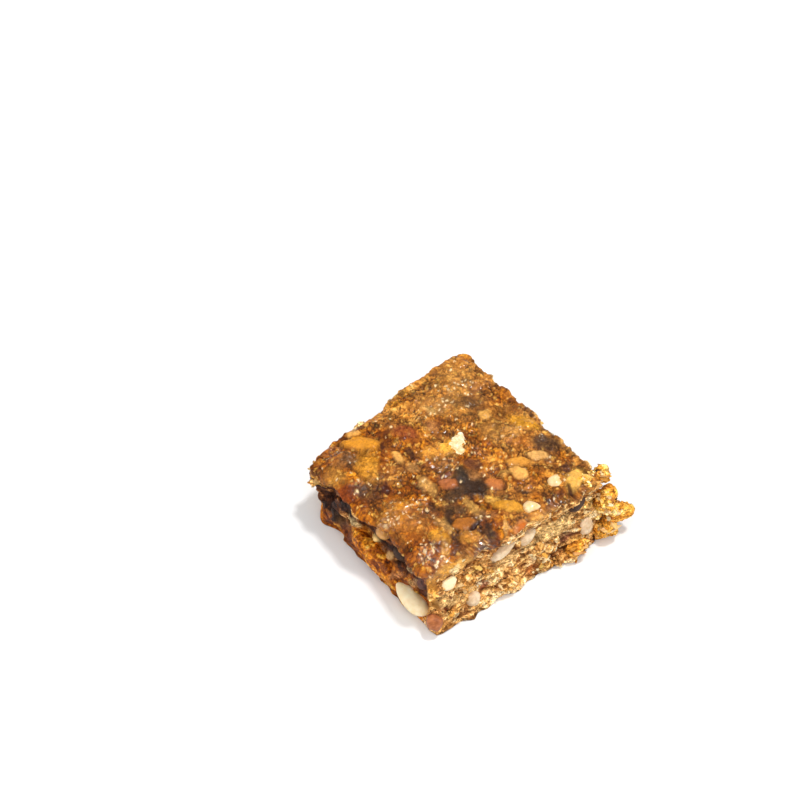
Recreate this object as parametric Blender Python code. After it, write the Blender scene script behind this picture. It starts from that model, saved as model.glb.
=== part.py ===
"""Hand-cut energy bar: a pressed block of chopped nuts, seeds and dried fruit bound with syrup.

The block stands on its flat underside. +X runs along the front cut side, +Y away from it and +Z up.
The origin is at the middle of the footprint, on the surface that the bar rests on.
All sizes below are in millimetres and are turned into metres when a mesh is finished.
"""
from dataclasses import dataclass
import math

import bmesh
import bpy
from mathutils import Matrix, Vector
import numpy as np

MM = 0.001
GAP = 0.35

# The block: corners of its top face and of its foot, and its thickness.
# Each square runs front-left, front-right, back-right, back-left.
HEIGHT = 14.5
TOP_CORNERS = ((-21.0, -15.4), (16.3, -19.1), (17.7, 21.8), (-21.8, 17.5))
FOOT_CORNERS = ((-21.4, -19.0), (17.1, -19.9), (18.6, 22.4), (-20.2, 17.0))
FOOT_SPREAD = 1.5
CORNER_POWER = 10.0
CORNER_ROUNDING = (0.35, 0.45, 0.7, 0.85)
CORNER_DROP = (0.5, 0.2, 0.3, 0.9)
EDGE_RADIUS = 1.1
EDGE_DROP = 0.4

# The left side is torn back below the smooth top skin, which overhangs it.
LEFT_RECESS = 2.1
FRONT_RECESS = 0.6

# The grid that the block's faces are cut into.
CELLS_ACROSS = 23
EDGE_CUT = 0.955
LAYERS = (0.11, 0.23, 0.36, 0.5, 0.63, 0.76, 0.88, 0.955)

SIDES = ("front", "right", "back", "left")


@dataclass
class Inclusion:
    """One set piece in the block: its kind, where it sits, its size and how it is turned."""

    name: str
    kind: str
    side: str
    place: tuple
    size: tuple
    turn: float = 0.0
    proud: float = 0.35
    faces: tuple = (10, 6)
    tip: float = 0.0
    bend: float = 0.0
    lumps: float = 0.08
    seed: int = 1


COLOURS = {
    "mix": (0.48, 0.25, 0.08, 0.35),
    "cashew": (0.84, 0.70, 0.44, 0.45),
    "golden_nut": (0.72, 0.42, 0.11, 0.35),
    "chocolate": (0.10, 0.055, 0.035, 0.4),
    "raisin": (0.13, 0.035, 0.025, 0.3),
    "fruit": (0.55, 0.22, 0.04, 0.25),
    "almond": (0.45, 0.16, 0.07, 0.5),
    "kernel": (0.74, 0.60, 0.42, 0.5),
    "seed": (0.87, 0.67, 0.36, 0.45),
}

# Pieces on the top are placed by x and y, those on a side by the distance from
# that side's first corner (front: from the left, left: from the front) and height.
INCLUSIONS = (
    Inclusion("cashew_chunk", "cashew", "left", (6.2, 2.6), (8.0, 2.9, 3.6), 5.0, 1.5,
              (14, 9), 0.25, -20.0, 0.05, 3),
    Inclusion("apricot_slab", "fruit", "left", (16.9, 3.2), (12.4, 4.4, 4.6), 2.0, 1.3,
              (14, 8), 0.2, 0.0, 0.13, 4),
    Inclusion("chip_left", "chocolate", "left", (10.9, 7.6), (3.4, 3.0, 3.2), 10.0, 0.9,
              (12, 7), 0.0, 0.0, 0.04, 5),
    Inclusion("raisin_left", "raisin", "left", (3.1, 8.0), (2.8, 3.4, 2.8), 20.0, 0.6,
              (10, 7), 0.1, 0.0, 0.16, 6),
    Inclusion("dark_edge_left", "chocolate", "left", (26.2, 5.2), (6.6, 5.0, 3.2), -12.0, 0.6,
              (10, 6), 0.0, 0.0, 0.14, 7),
    Inclusion("tan_nut_left", "golden_nut", "left", (14.6, 9.9), (3.6, 2.6, 2.6), -40.0, 0.9,
              (10, 6), 0.2, 0.0, 0.1, 8),
    Inclusion("almond_corner", "almond", "front", (0.4, 3.0), (2.8, 3.4, 2.8), 20.0, 1.0,
              (10, 6), 0.25, 0.0, 0.1, 9),
    Inclusion("cream_nut_front", "cashew", "front", (4.8, 8.6), (3.0, 2.2, 2.6), 10.0, 0.7,
              (10, 6), 0.2, 0.0, 0.1, 10),
    Inclusion("kernel_front_1", "kernel", "front", (16.2, 9.3), (5.6, 1.9, 2.6), 14.0, 0.7,
              (10, 6), 0.45, 0.0, 0.03, 11),
    Inclusion("kernel_front_2", "kernel", "front", (21.4, 9.1), (4.0, 2.2, 2.6), 20.0, 0.7,
              (10, 6), 0.4, 0.0, 0.03, 12),
    Inclusion("kernel_front_3", "kernel", "front", (33.3, 4.7), (3.6, 2.9, 2.4), 75.0, 0.9,
              (10, 6), 0.3, 0.0, 0.03, 13),
    Inclusion("kernel_front_4", "kernel", "front", (8.9, 2.9), (2.9, 2.6, 2.4), 45.0, 0.7,
              (10, 6), 0.3, 0.0, 0.03, 14),
    Inclusion("dark_flake_front", "chocolate", "front", (31.6, 11.7), (3.7, 2.2, 1.8), 24.0, 0.7,
              (10, 5), 0.3, 0.0, 0.08, 15),
    Inclusion("nut_long_top", "golden_nut", "top", (-11.8, 14.4), (7.6, 3.0, 2.6), -34.0, 0.4,
              (12, 6), 0.3, 0.0, 0.05, 16),
    Inclusion("nut_pale_top", "cashew", "top", (1.6, 3.3), (5.2, 3.9, 3.0), 48.0, 0.45,
              (12, 6), 0.2, 0.0, 0.14, 17),
    Inclusion("chip_middle_top", "chocolate", "top", (-2.3, -4.7), (4.6, 4.4, 3.0), 0.0, 0.3,
              (12, 6), 0.0, 0.0, 0.06, 18),
    Inclusion("chip_back_top", "chocolate", "top", (14.0, -5.4), (5.6, 3.9, 3.0), -30.0, 0.3,
              (12, 6), 0.0, 0.0, 0.08, 19),
    Inclusion("skin_left_top", "almond", "top", (-4.8, -1.9), (3.8, 2.8, 2.2), -30.0, 0.35,
              (10, 5), 0.2, 0.0, 0.08, 20),
    Inclusion("skin_right_top", "almond", "top", (1.7, -7.7), (4.2, 2.0, 2.0), -62.0, 0.35,
              (10, 5), 0.3, 0.0, 0.08, 21),
    Inclusion("kernel_yellow_top", "golden_nut", "top", (-1.2, -11.4), (5.4, 3.0, 2.4), -40.0, 0.35,
              (12, 6), 0.3, 0.0, 0.04, 22),
    Inclusion("seed_golden_top", "seed", "top", (6.6, -7.0), (4.2, 2.8, 2.2), -25.0, 0.35,
              (10, 5), 0.35, 0.0, 0.04, 23),
    Inclusion("seed_pale_top", "seed", "top", (10.6, -7.5), (3.1, 2.0, 1.8), -48.0, 0.35,
              (10, 5), 0.3, 0.0, 0.04, 24),
    Inclusion("seed_sesame_top", "seed", "top", (2.4, -15.3), (3.1, 2.1, 1.8), -32.0, 0.45,
              (10, 5), 0.45, 0.0, 0.03, 25),
    Inclusion("seed_cream_top", "seed", "top", (9.4, -13.4), (3.1, 2.5, 2.0), 20.0, 0.5,
              (10, 5), 0.4, 0.0, 0.04, 26),
)

# Crumbs along the cut sides, per side.
CRUMBS_PER_SIDE = {"front": 28, "right": 17, "back": 17, "left": 10}
CRUMB_RADIUS = (0.9, 1.8)
CRUMB_SINK = 0.3
CRUMB_FLOOR = 0.2

# Broken clumps: middle, reach, number of crumbs and their radii.
CLUMPS = (
    ((18.1, -18.8, 6.4), (3.7, 2.2, 4.3), 13, (1.1, 2.1)),
    ((17.2, -20.3, 2.6), (2.7, 1.4, 1.8), 6, (1.0, 1.8)),
    ((10.6, -19.7, 1.9), (3.2, 0.8, 1.2), 5, (1.0, 1.6)),
)


def value_noise(points, size, seed):
    """Smooth noise from -1 to 1 on cubic cells of one size, blended by 3t^2 - 2t^3 along each axis."""
    table = np.random.default_rng(seed).uniform(-1.0, 1.0, 4096)
    cell = np.floor(points / size).astype(np.int64)
    part = points / size - cell
    part = part * part * (3.0 - 2.0 * part)
    total = np.zeros(len(points))
    for corner in np.ndindex(2, 2, 2):
        step = np.array(corner)
        keys = ((cell + step) * (73856093, 19349663, 83492791)).sum(axis=1) % 4096
        total += table[keys] * np.where(step == 1, part, 1.0 - part).prod(axis=1)
    return total


def smooth_step(low, high, value):
    """A ramp from 0 to 1 between two values, level at both ends."""
    t = np.clip((value - low) / (high - low), 0.0, 1.0)
    return t * t * (3.0 - 2.0 * t)


def blend_corners(values, u, v):
    """Blend four corner values over the square: each counts by its distance from the far sides."""
    shares = ((1 - u) * (1 - v), (1 + u) * (1 - v), (1 + u) * (1 + v), (1 - u) * (1 + v))
    return sum(share * value for share, value in zip(shares, values)) / 4.0


def block_surface(u, v, t):
    """Place points of the unit block (u, v from -1 to 1, t from 0 to 1) on the bar's surface."""
    rim = np.maximum(np.abs(u), np.abs(v))
    power = np.abs(u) ** CORNER_POWER + np.abs(v) ** CORNER_POWER
    inward = 1.0 - rim / np.maximum(power, 1e-12) ** (1.0 / CORNER_POWER)
    rounded = 1.0 - inward * blend_corners(CORNER_ROUNDING, u, v)
    cu, cv = u * rounded, v * rounded
    spread = (1.0 - t) ** FOOT_SPREAD
    top = [blend_corners([c[axis] for c in TOP_CORNERS], cu, cv) for axis in (0, 1)]
    foot = [blend_corners([c[axis] for c in FOOT_CORNERS], cu, cv) for axis in (0, 1)]
    x = top[0] * (1.0 - spread) + foot[0] * spread
    y = top[1] * (1.0 - spread) + foot[1] * spread
    out = np.stack([np.sign(u) * np.abs(u) ** 9, np.sign(v) * np.abs(v) ** 9], axis=1)
    out /= np.maximum(np.linalg.norm(out, axis=1, keepdims=True), 1e-9)
    flat = np.stack([x, y, t * HEIGHT], axis=1)
    offset = side_profile(u, v, t) + side_relief(flat, t)
    offset *= rim ** 4
    x = x + out[:, 0] * offset
    y = y + out[:, 1] * offset
    edge = smooth_step(0.9, 1.0, rim)
    lift = 0.3 * value_noise(flat, 7.0, 31) + 0.24 * value_noise(flat, 2.8, 32)
    lift -= EDGE_DROP * edge + blend_corners(CORNER_DROP, u, v) * rim ** 3
    sway = 0.25 * value_noise(flat, 2.2, 33) * np.sin(np.pi * t)
    z = t * HEIGHT + lift * t ** 3 + sway
    return np.stack([x, y, z], axis=1), out


def side_profile(u, v, t):
    """How far a side stands out at height t: rounded top edge, torn-back left side."""
    over = np.clip(t * HEIGHT - (HEIGHT - EDGE_RADIUS), 0.0, EDGE_RADIUS)
    rounding = EDGE_RADIUS - np.sqrt(EDGE_RADIUS ** 2 - over ** 2)
    on_left = smooth_step(0.9, 1.0, -u) * smooth_step(-1.02, -0.86, v) * smooth_step(1.0, 0.75, v)
    on_front = smooth_step(0.9, 1.0, -v) * smooth_step(-0.95, -0.7, u)
    cavity = smooth_step(0.12, 0.42, t) * smooth_step(0.93, 0.72, t)
    return -rounding - cavity * (LEFT_RECESS * on_left + FRONT_RECESS * on_front)


def side_relief(points, t):
    """Crags of a cut side: lumps of two sizes, calmer on the top skin."""
    lumps = 0.9 * value_noise(points, 3.3, 34) + 0.5 * value_noise(points, 1.7, 35)
    return lumps * (1.0 - 0.55 * smooth_step(0.86, 1.0, t))


def side_point(side, along, height):
    """A point of a side from its first corner's distance and height, with its outward direction."""
    t = height / HEIGHT
    length = {"front": 37.4, "right": 40.9, "back": 39.5, "left": 32.9}[side]
    s = 2.0 * along / length - 1.0
    u, v = {"front": (s, -1.0), "right": (1.0, s), "back": (-s, 1.0), "left": (-1.0, s)}[side]
    points, outs = block_surface(np.array([u]), np.array([v]), np.array([t]))
    return Vector(points[0]), Vector((outs[0][0], outs[0][1], 0.0))


def top_point(x, y):
    """The point of the top face above x, y: a few steps towards it in the unit square."""
    u = v = 0.0
    for _ in range(6):
        points, _outs = block_surface(np.array([u]), np.array([v]), np.array([1.0]))
        u = min(max(u + (x - points[0][0]) / 19.5, -1.0), 1.0)
        v = min(max(v + (y - points[0][1]) / 19.0, -1.0), 1.0)
    return Vector(points[0])


def seat(item):
    """The frame of an inclusion: x and y in the face it sits in, z standing out of it."""
    if item.side == "top":
        point, out, along = top_point(*item.place), Vector((0, 0, 1)), Vector((1, 0, 0))
    else:
        point, out = side_point(item.side, *item.place)
        along = Vector((0, 0, 1)).cross(out)
        if item.side == "left":
            along = -along
    across = out.cross(along)
    centre = point + out * (item.proud - item.size[2] / 2)
    frame = Matrix((along, across, out)).transposed().to_4x4()
    turn = Matrix.Rotation(math.radians(item.turn if item.side != "left" else -item.turn), 4, "Z")
    return Matrix.Translation(centre) @ frame @ turn


def shape_points(item, points, grow):
    """Shape a unit ball: taper to a tip, lumps, size, then a bend along its length."""
    radius = 1.0 + item.lumps * value_noise(points + item.seed * 7.3, 0.7, item.seed)
    narrowing = 1.0 - item.tip * np.clip(points[:, 0], -0.6, 1.0)
    shaped = points * radius[:, None]
    shaped[:, 1] *= narrowing
    shaped[:, 2] *= narrowing ** 0.5
    shaped *= np.array(item.size) / 2 + grow
    if item.bend:
        bow = item.size[0] / math.radians(item.bend) / 2
        angle = shaped[:, 0] / bow
        reach = bow - shaped[:, 1]
        shaped[:, 0] = reach * np.sin(angle)
        shaped[:, 1] = bow - reach * np.cos(angle)
    return shaped


def ball_mesh(item, grow):
    """The closed body of an inclusion, or of its pocket when it is grown by the gap."""
    bm = bmesh.new()
    segments, rings = item.faces
    bmesh.ops.create_uvsphere(bm, u_segments=segments, v_segments=rings, radius=1.0)
    points = np.array([vert.co[:] for vert in bm.verts])
    matrix = seat(item)
    for vert, place in zip(bm.verts, shape_points(item, points, grow)):
        vert.co = (matrix @ Vector(place)) * MM
    return to_mesh(bm, item.name)


def to_mesh(bm, name):
    """Turn a bmesh into a mesh datablock."""
    mesh = bpy.data.meshes.new(name)
    bm.to_mesh(mesh)
    bm.free()
    return mesh


def block_mesh():
    """The pressed block: a cube cut into a grid, then carried onto the bar's surface."""
    bm = bmesh.new()
    bmesh.ops.create_cube(bm, size=2.0)
    inner = np.linspace(-EDGE_CUT, EDGE_CUT, CELLS_ACROSS - 1)
    cuts = [((1, 0, 0), value) for value in inner] + [((0, 1, 0), value) for value in inner]
    cuts += [((0, 0, 1), 2.0 * layer - 1.0) for layer in LAYERS]
    for normal, value in cuts:
        geometry = bm.verts[:] + bm.edges[:] + bm.faces[:]
        bmesh.ops.bisect_plane(bm, geom=geometry, plane_co=Vector(normal) * value, plane_no=normal)
    underside = [face for face in bm.faces if face.normal.z < -0.9]
    bmesh.ops.dissolve_faces(bm, faces=underside, use_verts=False)
    unit = np.array([vert.co[:] for vert in bm.verts])
    places, _outs = block_surface(unit[:, 0], unit[:, 1], (unit[:, 2] + 1.0) / 2.0)
    for vert, place in zip(bm.verts, places):
        vert.co = Vector(place) * MM
    return to_mesh(bm, "bar_mix")


def crumb_mesh(centre, radius, seed, detail):
    """One crumb: a ball of 20 or 80 faces, dented and squashed, lifted clear of the underside."""
    rng = np.random.default_rng(seed)
    stretch = rng.uniform(0.8, 1.25, 3)
    bm = bmesh.new()
    bmesh.ops.create_icosphere(bm, subdivisions=detail, radius=1.0)
    spin = Matrix.Rotation(rng.uniform(0, math.tau), 3, Vector(rng.normal(size=3)))
    for vert in bm.verts:
        place = spin @ Vector(vert.co * rng.uniform(0.92, 1.07))
        place = Vector(place * axis_stretch for place, axis_stretch in zip(place, stretch))
        place = place * radius + Vector(centre)
        place.z = max(place.z, CRUMB_FLOOR + 0.02 * (seed % 9))
        vert.co = place * MM
    return to_mesh(bm, "crumb")


def crumb_places(seats):
    """Where the crumbs go: along each cut side clear of the inclusions, and in the broken clumps."""
    rng = np.random.default_rng(71)
    places = []
    for side in SIDES:
        count = CRUMBS_PER_SIDE[side]
        for index in range(count):
            along = 2.0 + (index + rng.uniform(0.1, 0.9)) * 33.0 / count
            height = rng.uniform(0.8, 12.2)
            radius = rng.uniform(*CRUMB_RADIUS)
            point, out = side_point(side, along, height)
            centre = point - out * radius * CRUMB_SINK
            reach = [(centre - middle).length - size for middle, size in seats]
            if min(reach) > radius + GAP:
                places.append((tuple(centre), radius, 1 if index % 4 else 2))
    for middle, reach, count, radii in CLUMPS:
        for index in range(count):
            ball = rng.normal(size=3)
            ball *= rng.uniform(0.3, 1.0) / np.linalg.norm(ball)
            radius = rng.uniform(*radii)
            places.append((tuple(np.array(middle) + ball * reach), radius, 2 if radius > 1.4 else 1))
    return places


def add_object(name, mesh, collection, guide=False):
    """Put a mesh in the scene as a named object; a guide is hidden from renders."""
    item = bpy.data.objects.new(name, mesh)
    collection.objects.link(item)
    if guide:
        item.hide_render = True
        item.display_type = "WIRE"
    return item


def finish(name):
    """The Principled material of one kind of piece."""
    red, green, blue, roughness = COLOURS[name]
    material = bpy.data.materials.new(name)
    material.use_nodes = True
    shader = material.node_tree.nodes["Principled BSDF"]
    shader.inputs["Base Color"].default_value = (red, green, blue, 1.0)
    shader.inputs["Roughness"].default_value = roughness
    shader.inputs["Metallic"].default_value = 0.0
    return material


def apply_boolean(target, operation, collection):
    """Join or cut a body with every object of a collection, apply it and clear the collection."""
    modifier = target.modifiers.new(operation.title(), "BOOLEAN")
    modifier.operation = operation
    modifier.operand_type = "COLLECTION"
    modifier.collection = collection
    modifier.solver = "EXACT"
    bpy.context.view_layer.update()
    evaluated = target.evaluated_get(bpy.context.evaluated_depsgraph_get())
    mesh = bpy.data.meshes.new_from_object(evaluated)
    target.modifiers.clear()
    target.data = mesh
    for item in list(collection.objects):
        bpy.data.objects.remove(item)


def drop_scraps(target):
    """Keep the largest shell: loose scraps go and sealed hollows close."""
    bm = bmesh.new()
    bm.from_mesh(target.data)
    bmesh.ops.remove_doubles(bm, verts=bm.verts, dist=0.01 * MM)
    bmesh.ops.dissolve_degenerate(bm, dist=0.005 * MM, edges=bm.edges)
    bmesh.ops.triangulate(bm, faces=bm.faces)
    left = set(bm.verts)
    shells = []
    while left:
        queue = [left.pop()]
        shell = list(queue)
        while queue:
            vert = queue.pop()
            near = [edge.other_vert(vert) for edge in vert.link_edges]
            fresh = [other for other in near if other in left]
            left.difference_update(fresh)
            queue += fresh
            shell += fresh
        shells.append(shell)
    largest = max(shells, key=len)
    for shell in shells:
        if shell is not largest:
            bmesh.ops.delete(bm, geom=shell, context="VERTS")
    bm.to_mesh(target.data)
    bm.free()


def main():
    """Build the block, fuse its crumbs, cut the pockets and set the inclusions in them."""
    for item in list(bpy.data.objects):
        bpy.data.objects.remove(item)
    bar = bpy.data.collections.new("energy_bar")
    pieces = bpy.data.collections.new("crumbs_and_pockets")
    bpy.context.scene.collection.children.link(bar)
    bpy.context.scene.collection.children.link(pieces)
    materials = {kind: finish(kind) for kind in COLOURS}

    block = add_object("bar_mix", block_mesh(), bar)
    seats = [(seat(item).translation, max(item.size) / 2) for item in INCLUSIONS]
    for index, (centre, radius, detail) in enumerate(crumb_places(seats)):
        crumb = crumb_mesh(centre, radius, 500 + index, detail)
        add_object(f"crumb_{index}", crumb, pieces, guide=True)
    apply_boolean(block, "UNION", pieces)
    drop_scraps(block)
    for item in INCLUSIONS:
        add_object("pocket_" + item.name, ball_mesh(item, GAP), pieces, guide=True)
    apply_boolean(block, "DIFFERENCE", pieces)
    drop_scraps(block)
    block.data.materials.clear()
    block.data.materials.append(materials["mix"])

    for item in INCLUSIONS:
        piece = add_object(item.name, ball_mesh(item, 0.0), bar)
        piece.data.materials.append(materials[item.kind])
        piece.data.shade_smooth()


main()
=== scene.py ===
"""Looks of a hand-cut energy bar: pressed mix, crumbs, nuts, seeds, fruit and chocolate.

Shapes are worked out in millimetres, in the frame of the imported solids, and turned into metres
when a mesh is made. Every piece is a surface computed as whole arrays: a grid of two parameters
carried onto the block, or a ball of two angles that is dented, bent and placed.
"""
from dataclasses import dataclass, field
from enum import Enum
import logging
import math
from typing import Optional, Sequence, Union

import bpy
import numpy as np
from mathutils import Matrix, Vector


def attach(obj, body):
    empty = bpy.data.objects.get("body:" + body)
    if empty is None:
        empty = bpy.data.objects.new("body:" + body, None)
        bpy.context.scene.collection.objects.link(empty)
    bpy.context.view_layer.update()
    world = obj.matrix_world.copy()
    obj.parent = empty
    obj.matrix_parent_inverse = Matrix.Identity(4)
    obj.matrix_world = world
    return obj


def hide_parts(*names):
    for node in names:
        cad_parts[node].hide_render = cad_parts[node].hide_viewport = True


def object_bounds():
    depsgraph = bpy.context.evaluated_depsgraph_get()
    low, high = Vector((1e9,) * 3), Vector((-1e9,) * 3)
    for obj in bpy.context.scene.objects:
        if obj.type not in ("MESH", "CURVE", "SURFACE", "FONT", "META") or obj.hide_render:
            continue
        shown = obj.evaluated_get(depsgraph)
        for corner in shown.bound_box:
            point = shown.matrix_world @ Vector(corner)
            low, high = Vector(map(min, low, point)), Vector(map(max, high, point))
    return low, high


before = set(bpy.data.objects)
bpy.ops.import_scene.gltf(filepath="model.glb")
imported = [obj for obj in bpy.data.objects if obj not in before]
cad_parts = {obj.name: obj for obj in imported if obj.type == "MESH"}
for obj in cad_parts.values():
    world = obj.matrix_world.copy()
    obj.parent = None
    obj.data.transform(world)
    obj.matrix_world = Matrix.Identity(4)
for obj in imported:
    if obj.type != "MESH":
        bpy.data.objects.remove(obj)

CAD_BOX = [list(corner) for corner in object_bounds()]
MM = 0.001
BODY = "root"
LOG = logging.getLogger("energy_bar")

Number = Union[float, int]
Colour = tuple[Number, Number, Number]
Triple = tuple[float, float, float]

# How far inside the solids' box every point stays, in millimetres.
INSET = 0.01
# Beyond this share of its half width a point of the unit block is on a side.
RIM = 0.999


class Side(Enum):
    """A face of the block; a cut side's value is the number of its first corner."""

    FRONT = 0
    RIGHT = 1
    BACK = 2
    LEFT = 3
    TOP = 4


CUT_SIDES = (Side.FRONT, Side.RIGHT, Side.BACK, Side.LEFT)


def linear(red: Number, green: Number, blue: Number) -> Triple:
    """Turn a colour of 0 to 255 as seen on a screen into the linear values that shaders take.

    Args:
        red: Red, 0 to 255.
        green: Green, 0 to 255.
        blue: Blue, 0 to 255.

    Returns:
        The three linear values, 0 to 1.
    """
    scaled = np.array([red, green, blue], float) / 255.0
    low, high = scaled / 12.92, ((scaled + 0.055) / 1.055) ** 2.4
    return tuple(float(value) for value in np.where(scaled < 0.04045, low, high))


def mix(first: np.ndarray, second: np.ndarray, share: np.ndarray) -> np.ndarray:
    """Go from first to second as share goes from 0 to 1, for numbers or rows of colours.

    Args:
        first: Value or colours at share 0.
        second: Value or colours at share 1.
        share: One number a point.

    Returns:
        first * (1 - share) + second * share.
    """
    if np.ndim(first) == 2 or np.ndim(second) == 2 or np.shape(first) == (3,):
        share = np.asarray(share)[..., None]
    return first * (1.0 - share) + second * share


def smooth_step(low: float, high: float, value: np.ndarray) -> np.ndarray:
    """A ramp from 0 at low to 1 at high, level at both ends: 3t^2 - 2t^3.

    Args:
        low: Where the ramp starts.
        high: Where it ends; it may be below low for a falling ramp.
        value: Where it is read.

    Returns:
        The ramp at each value.
    """
    t = np.clip((value - low) / (high - low), 0.0, 1.0)
    return t * t * (3.0 - 2.0 * t)


def settle(height: np.ndarray, floor: float, reach: float = 0.5) -> np.ndarray:
    """Keep heights above a floor: below floor + reach they close in on it as e^x does.

    Args:
        height: Heights.
        floor: The lowest height.
        reach: How far above the floor the closing in starts.

    Returns:
        The new heights.
    """
    above = height - floor - reach
    return np.where(above < 0.0, floor + reach * np.exp(np.minimum(above, 0.0) / reach), height)


def lattice_keys(cells: np.ndarray) -> np.ndarray:
    """Give each cell of a cubic lattice a number from 0 to 4095, always the same one."""
    return (cells * (73856093, 19349663, 83492791)).sum(axis=-1) % 4096


def value_noise(points: np.ndarray, size: float, seed: int) -> np.ndarray:
    """Smooth noise: random values on cubic cells, blended by 3t^2 - 2t^3 along each axis.

    Args:
        points: Rows of x, y, z.
        size: Width of a cell, in the points' unit.
        seed: Seed of the random values.

    Returns:
        One value from -1 to 1 for each point.
    """
    table = np.random.default_rng(seed).uniform(-1.0, 1.0, 4096)
    cell = np.floor(points / size).astype(np.int64)
    part = points / size - cell
    part = part * part * (3.0 - 2.0 * part)
    total = np.zeros(len(points))
    for corner in np.ndindex(2, 2, 2):
        step = np.array(corner)
        weight = np.where(step == 1, part, 1.0 - part).prod(axis=1)
        total += table[lattice_keys(cell + step)] * weight
    return total


def layered(points: np.ndarray, *layers: tuple[float, float, int]) -> np.ndarray:
    """Noise of several sizes, added up.

    Args:
        points: Rows of x, y, z.
        *layers: How strong each is, how wide its cells are, and its seed.

    Returns:
        One value a point.
    """
    return sum(strength * value_noise(points, size, seed) for strength, size, seed in layers)


def cell_noise(points: np.ndarray, size: float, seed: int) -> tuple[np.ndarray, np.ndarray, np.ndarray]:
    """Split space into grains: one random middle in each cubic cell, and each point to its nearest.

    Args:
        points: Rows of x, y, z.
        size: Width of a cell, about the distance between grains.
        seed: Seed of the middles.

    Returns:
        Distance to the nearest middle, distance to the second, and the nearest one's number.
    """
    table = np.random.default_rng(seed).uniform(0.0, 1.0, (4096, 3))
    scaled = points / size
    base = np.floor(scaled).astype(np.int64)
    nearest = np.full(len(points), 9.0)
    second = np.full(len(points), 9.0)
    number = np.zeros(len(points), np.int64)
    for corner in np.ndindex(3, 3, 3):
        cell = base + np.array(corner) - 1
        keys = lattice_keys(cell)
        distance = np.linalg.norm(cell + table[keys] - scaled, axis=1)
        closer = distance < nearest
        second = np.where(closer, nearest, np.minimum(second, distance))
        number = np.where(closer, keys, number)
        nearest = np.where(closer, distance, nearest)
    return nearest * size, second * size, number


def draw(numbers: np.ndarray, seed: int, low: float = 0.0, high: float = 1.0) -> np.ndarray:
    """Give each grain number its own random value between low and high."""
    return np.random.default_rng(seed).uniform(low, high, 4096)[numbers]


@dataclass(frozen=True)
class Palette:
    """Colours that grains are picked from, with how often each is picked."""

    colours: tuple[Colour, ...]
    shares: tuple[float, ...]

    def pick(self, chance: np.ndarray) -> np.ndarray:
        """Pick a linear colour for each chance from 0 to 1.

        Args:
            chance: One number a grain or point.

        Returns:
            Rows of linear colours.
        """
        limits = np.cumsum(self.shares) / sum(self.shares)
        table = np.array([linear(*colour) for colour in self.colours])
        return table[np.searchsorted(limits, chance).clip(0, len(table) - 1)]


@dataclass(frozen=True)
class Shades:
    """Colours from the darkest to the lightest grains, each at its share of the surface."""

    stops: tuple[tuple[float, Colour], ...]

    def at(self, rank: np.ndarray) -> np.ndarray:
        """The linear colour of each rank: 0 for the darkest grain, 1 for the lightest.

        Args:
            rank: One number a point.

        Returns:
            Rows of linear colours.
        """
        places = [place for place, _colour in self.stops]
        colours = np.array([linear(*colour) for _place, colour in self.stops])
        return np.stack([np.interp(rank, places, colours[:, axis]) for axis in range(3)], axis=1)


TAN_SHADES = Shades((
    (0.0, (82, 48, 20)), (0.1, (130, 80, 32)), (0.3, (176, 114, 46)), (0.5, (204, 138, 60)),
    (0.7, (223, 160, 76)), (0.9, (243, 188, 104)), (1.0, (254, 222, 144)),
))
AMBER_SHADES = Shades((
    (0.0, (74, 32, 4)), (0.1, (126, 62, 6)), (0.3, (174, 98, 11)), (0.5, (204, 124, 18)),
    (0.7, (225, 150, 30)), (0.9, (244, 180, 52)), (1.0, (254, 214, 94)),
))
SIDE_SHADES = Shades((
    (0.0, (100, 54, 26)), (0.1, (170, 112, 58)), (0.3, (218, 163, 94)), (0.5, (237, 188, 116)),
    (0.7, (246, 208, 146)), (0.9, (254, 230, 184)), (1.0, (255, 248, 218)),
))
CLUMP_SHADES = Shades((
    (0.0, (126, 68, 20)), (0.1, (190, 120, 38)), (0.3, (232, 164, 60)), (0.5, (248, 188, 82)),
    (0.7, (255, 206, 108)), (0.9, (255, 228, 150)), (1.0, (255, 240, 190)),
))
CREAM_SHADES = Shades((
    (0.0, (180, 134, 80)), (0.1, (232, 196, 138)), (0.3, (248, 218, 168)), (0.5, (254, 230, 186)),
    (0.7, (255, 238, 202)), (1.0, (255, 248, 226)),
))
# The hollow of the torn side: dark brown mix, made darker still as painted shade; the dark edge at the left
# end takes these colours too.
CAVITY_SHADOW_SHADES = Shades((
    (0.0, (26, 10, 4)), (0.1, (46, 20, 8)), (0.3, (76, 38, 16)), (0.5, (104, 58, 26)),
    (0.7, (138, 82, 38)), (0.9, (198, 138, 76)), (1.0, (244, 206, 150)),
))
LEDGE_SHADES = Shades((
    (0.0, (70, 25, 2)), (0.1, (124, 58, 5)), (0.3, (172, 92, 12)), (0.5, (200, 118, 20)),
    (0.7, (222, 146, 36)), (0.9, (244, 188, 80)), (1.0, (255, 226, 134)),
))

# Brightness and warmth of a grain by its chance: 0.5 leaves the colour under it as it is.
GRAIN_SHADES = (
    (0.0, (0.2, 0.17, 0.14)), (0.22, (0.38, 0.36, 0.33)), (0.5, (0.51, 0.51, 0.5)),
    (0.78, (0.66, 0.67, 0.68)), (1.0, (0.84, 0.87, 0.88)),
)


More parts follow.
